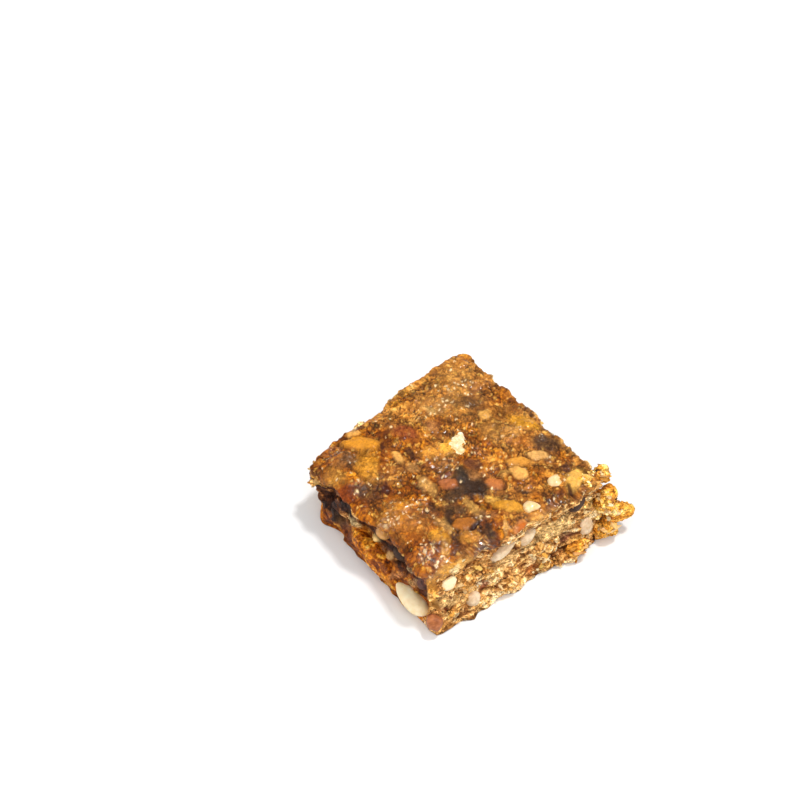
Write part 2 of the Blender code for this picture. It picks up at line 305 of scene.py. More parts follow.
class Finish:
    """A Principled material whose sockets are fed by expressions on Sock values."""

    def __init__(self, name: str) -> None:
        """Start an empty material.

        Args:
            name: The material's name.
        """
        self.material = bpy.data.materials.new(name)
        self.material.use_nodes = True
        self.tree = self.material.node_tree
        self.shader = self.tree.nodes["Principled BSDF"]
        self.place = self.node("ShaderNodeTexCoord", output="Object")

    def node(self, kind: str, settings: Optional[dict] = None, inputs: Optional[dict] = None,
             output: Union[int, str] = 0) -> "Sock":
        """Add any node: settings first, then the values or links of its sockets.

        Args:
            kind: Blender's type of the node.
            settings: Its properties; "stops" fills a colour ramp with (place, colour) pairs.
            inputs: Socket name or number to a value or a Sock.
            output: The output socket that is wanted.

        Returns:
            The wanted output as a Sock.
        """
        made = self.tree.nodes.new(kind)
        for name, value in (settings or {}).items():
            if name == "stops":
                ramp = made.color_ramp
                while len(ramp.elements) < len(value):
                    ramp.elements.new(1.0)
                for element, (place, colour) in zip(ramp.elements, value):
                    element.position = place
                    element.color = (*colour, 1.0)
            else:
                setattr(made, name, value)
        for name, value in (inputs or {}).items():
            self.feed(made.inputs[name], value)
        return Sock(self, made.outputs[output])

    def feed(self, socket: bpy.types.NodeSocket, value: object) -> None:
        """Link a Sock to a socket, or set the socket's own value.

        Args:
            socket: The input socket.
            value: A Sock or a plain value.
        """
        if isinstance(value, Sock):
            self.tree.links.new(value.socket, socket)
        else:
            socket.default_value = value

    def blend(self, share: object, first: object, second: object, way: str = "MIX") -> "Sock":
        """Mix two colours.

        Args:
            share: 0 to 1, or a Sock.
            first: Colour of four values, or a Sock.
            second: Colour of four values, or a Sock.
            way: Blender's blend type.

        Returns:
            The mixed colour.
        """
        settings = {"data_type": "RGBA", "blend_type": way}
        return self.node("ShaderNodeMix", settings, {0: share, 6: first, 7: second}, 2)

    def noise(self, size: float, detail: float = 3.0, stretch: Triple = (1.0, 1.0, 1.0)) -> "Sock":
        """Noise on object coordinates.

        Args:
            size: Width of its features in millimetres.
            detail: Blender's detail.
            stretch: How often the pattern repeats along x, y and z.

        Returns:
            A value from 0 to 1.
        """
        place = self.place
        if stretch != (1.0, 1.0, 1.0):
            place = self.node("ShaderNodeMapping", None, {"Vector": place, "Scale": stretch})
        inputs = {"Vector": place, "Scale": 1.0 / (size * MM), "Detail": detail}
        return self.node("ShaderNodeTexNoise", None, inputs)

    def ramp(self, value: "Sock", *stops: tuple[float, Triple]) -> "Sock":
        """Turn a value into a colour by a ramp of (place, colour) stops."""
        return self.node("ShaderNodeValToRGB", {"stops": stops}, {0: value})

    def warped(self, size: float, reach: float, stretch: Triple = (1.0, 1.0, 1.0)) -> "Sock":
        """Object coordinates pushed about by noise.

        Args:
            size: Width of the noise's features in millimetres.
            reach: How far points are pushed, in millimetres.
            stretch: How often the result repeats along x, y and z.

        Returns:
            The coordinates.
        """
        inputs = {"Vector": self.place, "Scale": 1.0 / (size * MM), "Detail": 1.0}
        push = self.node("ShaderNodeTexNoise", None, inputs, "Color")
        push = self.node("ShaderNodeVectorMath", {"operation": "SUBTRACT"}, {0: push, 1: (0.5, 0.5, 0.5)})
        push = self.node("ShaderNodeVectorMath", {"operation": "SCALE"}, {0: push, "Scale": 2.0 * reach * MM})
        moved = self.node("ShaderNodeVectorMath", {"operation": "ADD"}, {0: self.place, 1: push})
        return self.node("ShaderNodeMapping", None, {"Vector": moved, "Scale": stretch})

    def grains(self, size: float, spread: float, stretch: Triple = (1.0, 1.0, 1.0)) -> tuple["Sock", "Sock"]:
        """Small grains, each with one brightness and warmth of its own.

        Args:
            size: Distance between grains in millimetres.
            spread: How different they are from each other, 0 to 1.
            stretch: How often the pattern repeats along x, y and z.

        Returns:
            A colour to multiply by, about 1 on average, and a height from 0 to 1.
        """
        place = self.warped(size * 0.9, size * 0.35, stretch)
        inputs = {"Vector": place, "Scale": 1.0 / (size * MM)}
        colour = self.node("ShaderNodeTexVoronoi", None, inputs, "Color")
        away = self.node("ShaderNodeTexVoronoi", None, inputs, "Distance")
        chance = self.node("ShaderNodeSeparateColor", None, {0: colour})
        half = self.ramp(chance, *((place, tuple(0.5 + spread * (value - 0.5) for value in shade))
                                   for place, shade in GRAIN_SHADES))
        twice = self.node("ShaderNodeVectorMath", {"operation": "SCALE"}, {0: half, "Scale": 2.0})
        return twice, 1.0 - away

    def strata(self, thickness: float) -> "Sock":
        """Thin level streaks, seven times as long as they are thick, to multiply by; 1 on average.

        Args:
            thickness: About how thick a streak is, in millimetres.

        Returns:
            The colour.
        """
        streak = self.noise(thickness * 2.4, 3.0, (0.35, 0.35, 2.4))
        half = self.ramp(streak, (0.32, (0.24, 0.19, 0.15)), (0.44, (0.46, 0.44, 0.41)),
                         (0.54, (0.52, 0.52, 0.52)), (0.68, (0.68, 0.7, 0.72)))
        return self.node("ShaderNodeVectorMath", {"operation": "SCALE"}, {0: half, "Scale": 2.0})

    def attribute(self, name: str, output: str = "Color") -> "Sock":
        """Read one of the mesh's own attributes."""
        return self.node("ShaderNodeAttribute", {"attribute_name": name}, None, output)

    def bump(self, height: "Sock", depth: float, strength: float = 1.0) -> "Sock":
        """Turn a height into a normal; depth is in millimetres."""
        inputs = {"Height": height, "Distance": depth * MM, "Strength": strength}
        return self.node("ShaderNodeBump", None, inputs)

    def surface(self, **sockets: object) -> bpy.types.Material:
        """Feed the shader; an underscore in a name stands for a space.

        Args:
            **sockets: Socket name to a value or a Sock.

        Returns:
            The finished material.
        """
        for name, value in sockets.items():
            self.feed(self.shader.inputs[name.replace("_", " ")], value)
        return self.material


class Sock:
    """A shader socket that takes part in Python expressions."""

    def __init__(self, finish: Finish, socket: bpy.types.NodeSocket) -> None:
        """Wrap an output socket.

        Args:
            finish: The material it belongs to.
            socket: The output.
        """
        self.finish = finish
        self.socket = socket

    def _math(self, operation: str, first: object, second: object) -> "Sock":
        """Add a Math node on two values."""
        return self.finish.node("ShaderNodeMath", {"operation": operation}, {0: first, 1: second})

    def __add__(self, other: object) -> "Sock":
        """self + other."""
        return self._math("ADD", self, other)

    def __sub__(self, other: object) -> "Sock":
        """self - other."""
        return self._math("SUBTRACT", self, other)

    def __mul__(self, other: object) -> "Sock":
        """self * other."""
        return self._math("MULTIPLY", self, other)

    def __rsub__(self, other: object) -> "Sock":
        """other - self."""
        return self._math("SUBTRACT", other, self)

    __radd__ = __add__
    __rmul__ = __mul__

    def clamped(self, low: float, high: float) -> "Sock":
        """The value held between low and high."""
        inputs = {"Value": self, "Min": low, "Max": high}
        return self.finish.node("ShaderNodeClamp", None, inputs)


@dataclass(frozen=True)
class MixFinish:
    """The pressed mix: colour and stickiness from the mesh, then fine grains and broken syrup gloss."""

    name: str = "pressed_mix"
    grain: float = 0.6
    spread: float = 1.0
    gloss: float = 0.9

    def build(self) -> bpy.types.Material:
        """Make the material.

        Returns:
            The material.
        """
        finish = Finish(self.name)
        tint, sticky = finish.attribute("tint"), finish.attribute("sticky", "Fac")
        dry = (1.0 - sticky * 0.3) * (1.0 - finish.attribute("calm", "Fac") * 0.85)
        flat = (1.0, 1.0, 1.5)
        coarse, coarse_height = finish.grains(self.grain, self.spread, flat)
        fine, fine_height = finish.grains(self.grain * 0.5, self.spread, flat)
        base = finish.blend(dry * 0.7, tint, coarse, "MULTIPLY")
        base = finish.blend(dry * 0.9, base, fine, "MULTIPLY")
        base = finish.blend(dry * dry, base, finish.strata(0.32), "MULTIPLY")
        grit, broad = finish.noise(0.16, 2.0), finish.noise(0.9, 3.0)
        rough = 0.78 - sticky * 0.5 + (grit - 0.5) * 0.25
        height = (coarse_height * 0.45 + fine_height * 0.5 + grit * 0.3) * dry
        height = height + broad * 0.6 + grit * sticky * 0.4
        coat = (sticky * 1.8 - 0.8) * self.gloss
        return finish.surface(
            Base_Color=base, Roughness=rough.clamped(0.24, 0.95), Specular_IOR_Level=0.15,
            Coat_Weight=coat.clamped(0.0, 1.0), Coat_Roughness=0.08,
            Normal=finish.bump(height, 0.3, 0.9))


@dataclass(frozen=True)
class CrumbFinish:
    """Dry crumbs and flakes: each one's own colour, with a fine mealy grain."""

    name: str
    grain: float = 0.42
    roughness: float = 0.65
    coat: float = 0.0

    def build(self) -> bpy.types.Material:
        """Make the material.

        Returns:
            The material.
        """
        finish = Finish(self.name)
        fine, fine_height = finish.grains(self.grain, 0.7)
        grit = finish.noise(0.14, 2.0)
        base = finish.blend(0.6, finish.attribute("tint"), fine, "MULTIPLY")
        return finish.surface(
            Base_Color=base, Roughness=(self.roughness + (grit - 0.5) * 0.3).clamped(0.2, 0.95),
            Specular_IOR_Level=0.25, Coat_Weight=self.coat, Coat_Roughness=0.1,
            Normal=finish.bump(fine_height * 0.7 + grit * 0.5, 0.22, 0.8))


@dataclass(frozen=True)
class PieceFinish:
    """A nut, seed, fruit or chocolate piece: two colours in soft patches, streaks along its length."""

    name: str
    dark: Colour
    light: Colour
    patch: float = 1.2
    streaks: float = 0.0
    roughness: float = 0.45
    coat: float = 0.0
    waxy: float = 0.2
    relief: float = 0.12

    def build(self) -> bpy.types.Material:
        """Make the material.

        Returns:
            The material.
        """
        finish = Finish(self.name)
        patches, fine = finish.noise(self.patch, 4.0), finish.noise(0.2, 3.0)
        around = finish.node("ShaderNodeMapping", None,
                             {"Vector": finish.attribute("grid", "Vector"), "Scale": (1.5, 26.0, 1.0)})
        lines = finish.node("ShaderNodeTexNoise", None, {"Vector": around, "Scale": 1.0, "Detail": 3.0})
        share = (patches - 0.5) * 1.9 + 0.5 + (lines - 0.5) * (self.streaks * 2.0)
        base = finish.ramp(share, (0.0, linear(*self.dark)), (1.0, linear(*self.light)))
        height = fine * 0.4 + patches * 0.5 + lines * self.streaks
        rough = (self.roughness + (fine - 0.5) * 0.3).clamped(0.12, 0.9)
        return finish.surface(
            Base_Color=base, Roughness=rough, Specular_IOR_Level=0.2, Coat_Weight=self.coat,
            Coat_Roughness=0.08, Subsurface_Weight=self.waxy, Subsurface_Scale=0.4 * MM,
            Subsurface_Radius=(1.0, 0.6, 0.3), Normal=finish.bump(height, self.relief, 0.8))


@dataclass(frozen=True)
class FloorFinish:
    """Plain pale studio floor."""

    name: str = "studio_floor"

    def build(self) -> bpy.types.Material:
        """Make the material.

        Returns:
            The material.
        """
        return Finish(self.name).surface(Base_Color=(0.86, 0.86, 0.86, 1.0), Roughness=0.9)


@dataclass
class PieceMesh:
    """Arrays of one piece: points in millimetres, faces, and what its finish reads."""

    points: np.ndarray
    quads: np.ndarray
    triangles: np.ndarray
    look: Optional["Look"] = None
    grid: Optional[np.ndarray] = None

    def make(self, name: str, material: bpy.types.Material,
             stands_for: Sequence[str] = ()) -> bpy.types.Object:
        """Put the piece in the scene and tie it to the frame.

        Args:
            name: The object's name.
            material: Its finish.
            stands_for: The solids it replaces.

        Returns:
            The object, at the origin.
        """
        mesh = bpy.data.meshes.new(name)
        low, high = (np.array(corner) / MM for corner in CAD_BOX)
        points = np.clip(self.points, low + INSET, high - INSET)
        mesh.from_pydata(points * MM, [], self.quads.tolist() + self.triangles.tolist())
        if self.look is not None:
            colour = mesh.color_attributes.new("tint", "FLOAT_COLOR", "POINT")
            rgba = np.ones((len(points), 4), np.float32)
            rgba[:, :3] = np.clip(self.look.tint, 0.0, 1.0)
            colour.data.foreach_set("color", rgba.ravel())
            for label in ("sticky", "calm"):
                values = mesh.attributes.new(label, "FLOAT", "POINT")
                values.data.foreach_set("value", getattr(self.look, label).astype(np.float32))
        if self.grid is not None:
            values = mesh.attributes.new("grid", "FLOAT_VECTOR", "POINT")
            values.data.foreach_set("vector", self.grid.astype(np.float32).ravel())
        mesh.validate()
        mesh.shade_smooth()
        piece = bpy.data.objects.new(name, mesh)
        bpy.context.collection.objects.link(piece)
        mesh.materials.append(material)
        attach(piece, BODY)
        if stands_for:
            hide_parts(*stands_for)
        LOG.info("%s: %d points, %d faces", name, len(points), len(mesh.polygons))
        return piece


@dataclass(frozen=True)
class BarForm:
    """The block's form: an uneven four-cornered block with one torn side.

    Corner lists run front-left, front-right, back-right, back-left, in millimetres.
    """

    height: float = 14.5
    top: tuple = ((-21.0, -15.4), (16.3, -19.1), (17.7, 21.8), (-21.8, 17.5))
    foot: tuple = ((-21.4, -19.0), (17.1, -19.9), (18.6, 22.4), (-20.2, 17.0))
    spread: float = 1.5
    corner_power: float = 10.0
    corner_rounding: tuple = (0.35, 0.45, 0.7, 0.85)
    corner_drop: tuple = (0.5, 0.2, 0.3, 0.9)
    edge_radius: float = 1.1
    edge_drop: float = 0.4
    left_recess: float = 2.1
    front_recess: float = 0.6
    lip_bite: float = 1.2
    side_lengths: tuple = (37.4, 40.9, 39.5, 32.9)
    half_widths: tuple = (19.5, 19.0)

    @staticmethod
    def blend(values: Sequence[float], u: np.ndarray, v: np.ndarray) -> np.ndarray:
        """Blend four corner values over the square, each by its distance from the far sides."""
        shares = ((1 - u) * (1 - v), (1 + u) * (1 - v), (1 + u) * (1 + v), (1 - u) * (1 + v))
        return sum(share * value for share, value in zip(shares, values)) / 4.0

    def surface(self, u: np.ndarray, v: np.ndarray, t: np.ndarray) -> tuple[np.ndarray, np.ndarray]:
        """Carry points of the unit block onto the bar.

        The outline goes from the foot's corners to the top's as (1 - t)^1.5 falls. Corners are
        drawn in by a power of ten curve, sides stand out by their profile and lumps, and the top
        waves gently and drops at its edge.

        Args:
            u: -1 at the left to 1 at the right.
            v: -1 at the front to 1 at the back.
            t: 0 at the foot to 1 at the top.

        Returns:
            Points in millimetres, and the level outward direction at each.
        """
        rim = np.maximum(np.abs(u), np.abs(v))
        power = np.abs(u) ** self.corner_power + np.abs(v) ** self.corner_power
        inward = 1.0 - rim / np.maximum(power, 1e-12) ** (1.0 / self.corner_power)
        rounded = 1.0 - inward * self.blend(self.corner_rounding, u, v)
        cu, cv = u * rounded, v * rounded
        spread = (1.0 - t) ** self.spread
        top = [self.blend([c[axis] for c in self.top], cu, cv) for axis in (0, 1)]
        foot = [self.blend([c[axis] for c in self.foot], cu, cv) for axis in (0, 1)]
        x = top[0] * (1.0 - spread) + foot[0] * spread
        y = top[1] * (1.0 - spread) + foot[1] * spread
        out = np.stack([np.sign(u) * np.abs(u) ** 9, np.sign(v) * np.abs(v) ** 9], axis=1)
        out /= np.maximum(np.linalg.norm(out, axis=1, keepdims=True), 1e-9)
        flat = np.stack([x, y, t * self.height], axis=1)
        offset = (self.profile(u, v, t) + self.lumps(flat, t)) * rim ** 4
        x = x + out[:, 0] * offset
        y = y + out[:, 1] * offset
        edge = smooth_step(0.9, 1.0, rim)
        lift = layered(flat, (0.3, 7.0, 31), (0.24, 2.8, 32))
        lift -= self.edge_drop * edge + self.blend(self.corner_drop, u, v) * rim ** 3
        sway = 0.25 * value_noise(flat, 2.2, 33) * np.sin(np.pi * t)
        z = t * self.height + lift * t ** 3 + sway
        return np.stack([x, y, z], axis=1), out

    def profile(self, u: np.ndarray, v: np.ndarray, t: np.ndarray) -> np.ndarray:
        """How far a side stands out: a quarter circle at the top edge, torn-back hollows below it.

        The hollow of a side follows t as a ramp up and a ramp down. The bite in the left side's lip
        falls off from its middle as e^(-x^2).

        Args:
            u: -1 at the left to 1 at the right.
            v: -1 at the front to 1 at the back.
            t: 0 at the foot to 1 at the top.

        Returns:
            Millimetres out of the side, below 0 for inwards.
        """
        over = np.clip(t * self.height - (self.height - self.edge_radius), 0.0, self.edge_radius)
        rounding = self.edge_radius - np.sqrt(self.edge_radius ** 2 - over ** 2)
        on_left = smooth_step(0.9, 1.0, -u) * smooth_step(-1.02, -0.86, v)
        on_left = on_left * smooth_step(1.0, 0.75, v)
        on_front = smooth_step(0.9, 1.0, -v) * smooth_step(-0.95, -0.7, u)
        cavity = smooth_step(0.12, 0.42, t) * smooth_step(0.93, 0.72, t)
        bite = self.lip_bite * np.exp(-((v + 0.36) / 0.26) ** 2) * smooth_step(0.3, 0.7, t)
        recess = self.left_recess * on_left + self.front_recess * on_front
        return -rounding - cavity * recess - bite * on_left

    @staticmethod
    def lumps(points: np.ndarray, t: np.ndarray) -> np.ndarray:
        """Crags of a cut side: noise of two sizes, calmer on the top skin."""
        both = layered(points, (0.9, 3.3, 34), (0.5, 1.7, 35))
        return both * (1.0 - 0.55 * smooth_step(0.86, 1.0, t))

    def side_point(self, side: Side, along: float, height: float) -> tuple[np.ndarray, np.ndarray]:
        """A point of a side.

        Args:
            side: One of the cut sides.
            along: Distance from the side's first corner, in millimetres.
            height: Height above the foot.

        Returns:
            The point and its level outward direction.
        """
        s = 2.0 * along / self.side_lengths[side.value] - 1.0
        u, v = ((s, -1.0), (1.0, s), (-s, 1.0), (-1.0, s))[side.value]
        points, outs = self.surface(*(np.array([value]) for value in (u, v, height / self.height)))
        return points[0], np.array([outs[0][0], outs[0][1], 0.0])

    def top_point(self, x: float, y: float, steps: int = 6) -> np.ndarray:
        """The point of the top above x, y: each step moves u and v by what is still missing.

        Args:
            x: Millimetres to the right.
            y: Millimetres to the back.
            steps: How many steps are taken.

        Returns:
            The point.
        """
        u = v = 0.0
        for _step in range(steps):
            points, _outs = self.surface(np.array([u]), np.array([v]), np.array([1.0]))
            u = min(max(u + (x - points[0][0]) / self.half_widths[0], -1.0), 1.0)
            v = min(max(v + (y - points[0][1]) / self.half_widths[1], -1.0), 1.0)
        return points[0]

    @staticmethod
    def torn(unit: np.ndarray, points: np.ndarray) -> np.ndarray:
        """Where the side is torn, 0 to 1: the whole left side but for its front corner."""
        return smooth_step(-0.93, -0.99, unit[:, 0]) * smooth_step(-16.0, -14.0, points[:, 1])


@dataclass(frozen=True)
class Mark:
    """A larger bit that shows in the block's surface: where it lies, its size and its colour.

    On the top x and y are the bar's own. On a side x is the distance from the side's first corner
    and y the height. strength is how much of its colour it has, rise how far it stands out and soft
    how far its edge fades; below CRISP it has a dark rim of painted shade round it.
    """

    x: float
    y: float
    length: float
    width: float
    turn: float
    colour: Colour
    strength: float = 0.8
    rise: float = 0.12
    soft: float = 0.3

    def cover(self, points: np.ndarray) -> np.ndarray:
        """How far each point is from the middle: 0 there, 1 at the edge of the turned ellipse.

        Args:
            points: Rows of x, y and anything.

        Returns:
            One number a point.
        """
        angle = math.radians(self.turn)
        dx, dy = points[:, 0] - self.x, points[:, 1] - self.y
        along = dx * math.cos(angle) + dy * math.sin(angle)
        across = dy * math.cos(angle) - dx * math.sin(angle)
        return np.sqrt((along / (self.length / 2)) ** 2 + (across / (self.width / 2)) ** 2)


# A bit whose edge is less soft than this has a clean outline, with a rim of painted shade round it.
CRISP = 0.36

# Bits of the top: x, y, length, width, turn, colour, strength, rise, soft.
TOP_MARKS = (
    Mark(5.3, 11.8, 8.2, 5.3, -52.0, (218, 159, 84), 0.5, 0.1, 0.8),
    Mark(10.7, 16.1, 6.1, 8.4, -38.0, (202, 147, 74), 0.4, 0.1, 0.8),
    Mark(2.6, 12.7, 3.3, 1.4, -65.0, (237, 192, 120), 0.65, 0.12, 0.5),
    Mark(9.3, 9.6, 5.0, 2.7, -31.0, (96, 66, 36), 0.7, -0.1, 0.7),
    Mark(9.5, 5.8, 2.4, 1.9, -71.0, (246, 185, 95), 0.85, 0.25, 0.35),
    Mark(12.6, 3.9, 4.7, 3.3, -25.0, (134, 82, 20), 0.65, -0.1, 0.7),
    Mark(13.9, 0.2, 6.0, 2.9, -52.0, (214, 151, 28), 0.8, 0.15, 0.5),
    Mark(10.7, -0.3, 3.1, 1.9, -65.0, (241, 175, 90), 0.65, 0.12, 0.5),
    Mark(10.9, -3.2, 2.8, 2.8, -38.0, (186, 110, 34), 0.6, 0.1, 0.6),
    Mark(13.9, -5.9, 4.9, 4.2, -52.0, (74, 50, 34), 0.9, 0.1, 0.45),
    Mark(7.8, 2.3, 4.2, 4.2, -38.0, (204, 149, 72), 0.5, 0.12, 0.7),
    Mark(6.9, -6.3, 4.2, 2.5, -30.0, (227, 159, 66), 0.92, 0.3, 0.22),
    Mark(5.0, -5.9, 0.9, 1.4, -38.0, (84, 30, 14), 0.85, -0.2, 0.4),
    Mark(5.4, -8.3, 3.6, 2.6, -70.0, (248, 187, 103), 0.92, 0.28, 0.22),
    Mark(10.7, -7.2, 3.5, 2.1, -42.0, (237, 183, 110), 0.92, 0.25, 0.2),
    Mark(3.1, -7.3, 2.2, 1.5, 26.0, (218, 165, 88), 0.75, 0.15, 0.4),
    Mark(12.1, -15.3, 5.4, 3.0, 29.0, (255, 199, 97), 0.85, 0.4, 0.35),
    Mark(12.7, -12.3, 2.1, 1.6, -51.0, (96, 58, 44), 0.85, -0.05, 0.4),
    Mark(9.9, -16.7, 3.0, 0.6, 82.0, (60, 20, 6), 0.9, -0.3, 0.3),
    Mark(-11.6, 13.9, 7.8, 3.2, -49.0, (237, 161, 48), 0.94, 0.35, 0.3),
    Mark(-11.0, 17.3, 2.7, 1.9, -51.0, (246, 183, 97), 0.9, 0.25, 0.2),
    Mark(-14.2, 9.4, 6.3, 3.3, 62.0, (216, 150, 44), 0.8, 0.2, 0.8),
    Mark(-8.2, 11.8, 6.1, 2.7, 45.0, (108, 54, 12), 0.65, -0.15, 0.95),
    Mark(-4.1, 11.3, 4.7, 3.2, -58.0, (140, 66, 42), 0.75, 0.05, 0.5),
    Mark(0.8, 9.6, 2.5, 2.4, -38.0, (140, 92, 62), 0.6, 0.05, 0.6),
    Mark(-6.3, 7.1, 2.2, 1.3, -86.0, (60, 30, 20), 0.88, -0.15, 0.3),
    Mark(-9.3, 10.9, 1.0, 1.9, -38.0, (74, 24, 10), 0.85, -0.15, 0.4),
    Mark(-16.2, 12.8, 4.0, 3.6, -12.0, (138, 96, 58), 0.6, 0.1, 0.6),
    Mark(-19.6, 11.1, 4.7, 3.1, -64.0, (208, 149, 64), 0.65, 0.15, 0.6),
    Mark(-20.6, 7.3, 3.4, 3.6, -38.0, (140, 62, 12), 0.88, 0.2, 0.4),
    Mark(-17.6, 5.0, 4.6, 2.8, -64.0, (80, 52, 34), 0.8, -0.05, 0.55),
    Mark(-14.8, 3.3, 1.7, 2.2, -38.0, (80, 34, 18), 0.85, -0.1, 0.4),
    Mark(-16.6, -1.8, 6.0, 4.2, 19.0, (202, 136, 42), 0.6, 0.35, 0.7),
    Mark(-8.7, 7.5, 2.9, 1.4, 84.0, (250, 189, 103), 0.85, 0.18, 0.35),
    Mark(-7.9, 4.2, 2.1, 2.3, -38.0, (216, 163, 98), 0.6, 0.1, 0.6),
    Mark(-8.7, -0.6, 4.5, 2.2, 84.0, (231, 177, 100), 0.8, 0.15, 0.5),
    Mark(-3.7, 4.8, 3.5, 2.8, -38.0, (235, 163, 64), 0.75, 0.15, 0.6),
    Mark(-0.5, 4.0, 2.4, 3.0, -38.0, (247, 184, 72), 0.88, 0.15, 0.55),
    Mark(-2.8, -5.0, 7.6, 5.4, 85.0, (66, 46, 32), 0.92, 0.05, 0.45),
    Mark(-2.4, -2.7, 4.2, 2.1, 74.0, (60, 44, 28), 0.92, 0.05, 0.4),
    Mark(-3.1, -5.9, 5.1, 3.8, -76.0, (62, 42, 30), 0.95, 0.12, 0.4),
    Mark(-6.6, -5.1, 4.5, 2.3, -1.0, (84, 60, 40), 0.88, 0.05, 0.5),
    Mark(0.4, -1.7, 3.9, 1.8, -58.0, (98, 60, 44), 0.8, 0.05, 0.45),
    Mark(-5.7, -2.7, 3.3, 2.4, -54.0, (180, 106, 60), 0.92, 0.3, 0.25),
    Mark(-4.7, -0.9, 2.9, 1.1, -32.0, (128, 60, 34), 0.85, 0.2, 0.4),
    Mark(0.6, -7.6, 3.6, 2.0, -56.0, (190, 114, 58), 0.92, 0.3, 0.25),
    Mark(-0.7, -3.8, 2.1, 2.3, -38.0, (190, 132, 78), 0.6, 0.1, 0.6),
    Mark(-0.7, -12.6, 5.6, 2.2, -46.0, (223, 158, 51), 0.92, 0.32, 0.25),
    Mark(-1.8, -9.7, 2.4, 1.5, -25.0, (239, 184, 86), 0.75, 0.15, 0.5),
    Mark(-1.4, -17.8, 2.9, 3.9, -38.0, (246, 163, 99), 0.8, 0.25, 0.25),
    Mark(-1.4, -17.8, 1.8, 2.6, -38.0, (196, 102, 12), 0.97, 0.25, 0.2),
    Mark(-3.7, -15.8, 2.9, 1.2, 66.0, (251, 196, 116), 0.8, 0.12, 0.45),
    Mark(-8.3, -7.7, 4.4, 2.4, -51.0, (112, 80, 52), 0.8, 0.02, 0.55),
    Mark(-10.2, -8.4, 3.9, 1.4, 39.0, (66, 44, 30), 0.9, -0.05, 0.35),
    Mark(-10.8, -10.5, 2.8, 1.3, 80.0, (60, 38, 20), 0.9, -0.15, 0.3),
    Mark(-5.9, -9.6, 5.1, 1.6, 84.0, (225, 173, 94), 0.82, 0.12, 0.45),
    Mark(-9.2, -11.2, 4.6, 2.6, -23.0, (188, 114, 36), 0.93, 0.35, 0.22),
    Mark(-8.3, -12.7, 2.5, 0.8, 6.0, (52, 8, 2), 0.97, -0.4, 0.3),
    Mark(-5.1, -12.2, 3.7, 2.6, -38.0, (132, 94, 66), 0.65, 0.05, 0.6),
    Mark(-7.0, -15.4, 3.5, 1.9, 66.0, (80, 56, 42), 0.85, -0.08, 0.45),
    Mark(-12.1, -9.4, 3.3, 1.6, 75.0, (233, 184, 114), 0.65, 0.12, 0.5),
    Mark(-16.0, -6.4, 7.4, 5.2, -38.0, (204, 132, 54), 0.6, 0.3, 0.7),
    Mark(-17.8, -8.0, 4.4, 1.9, -51.0, (176, 96, 18), 0.65, 0.05, 0.6),
    Mark(-14.3, -10.5, 2.8, 2.6, -38.0, (225, 161, 50), 0.75, 0.15, 0.5),
    Mark(-14.6, -13.0, 3.6, 1.3, 43.0, (229, 163, 66), 0.75, 0.15, 0.4),
    Mark(-12.3, -12.8, 2.7, 1.0, 63.0, (92, 54, 34), 0.85, -0.1, 0.4),
    Mark(-17.0, -14.6, 1.7, 1.9, -38.0, (138, 76, 46), 0.75, 0.0, 0.5),
    Mark(-10.1, -13.8, 3.3, 2.3, -38.0, (218, 149, 58), 0.65, 0.15, 0.5),
    Mark(-12.1, -15.7, 3.3, 2.1, -38.0, (174, 106, 44), 0.65, 0.1, 0.5),
    Mark(-11.2, -17.8, 1.7, 0.8, 42.0, (255, 246, 216), 0.97, 0.18, 0.2),
    Mark(-14.1, -16.6, 1.8, 2.1, -38.0, (235, 169, 82), 0.7, 0.15, 0.5),
)

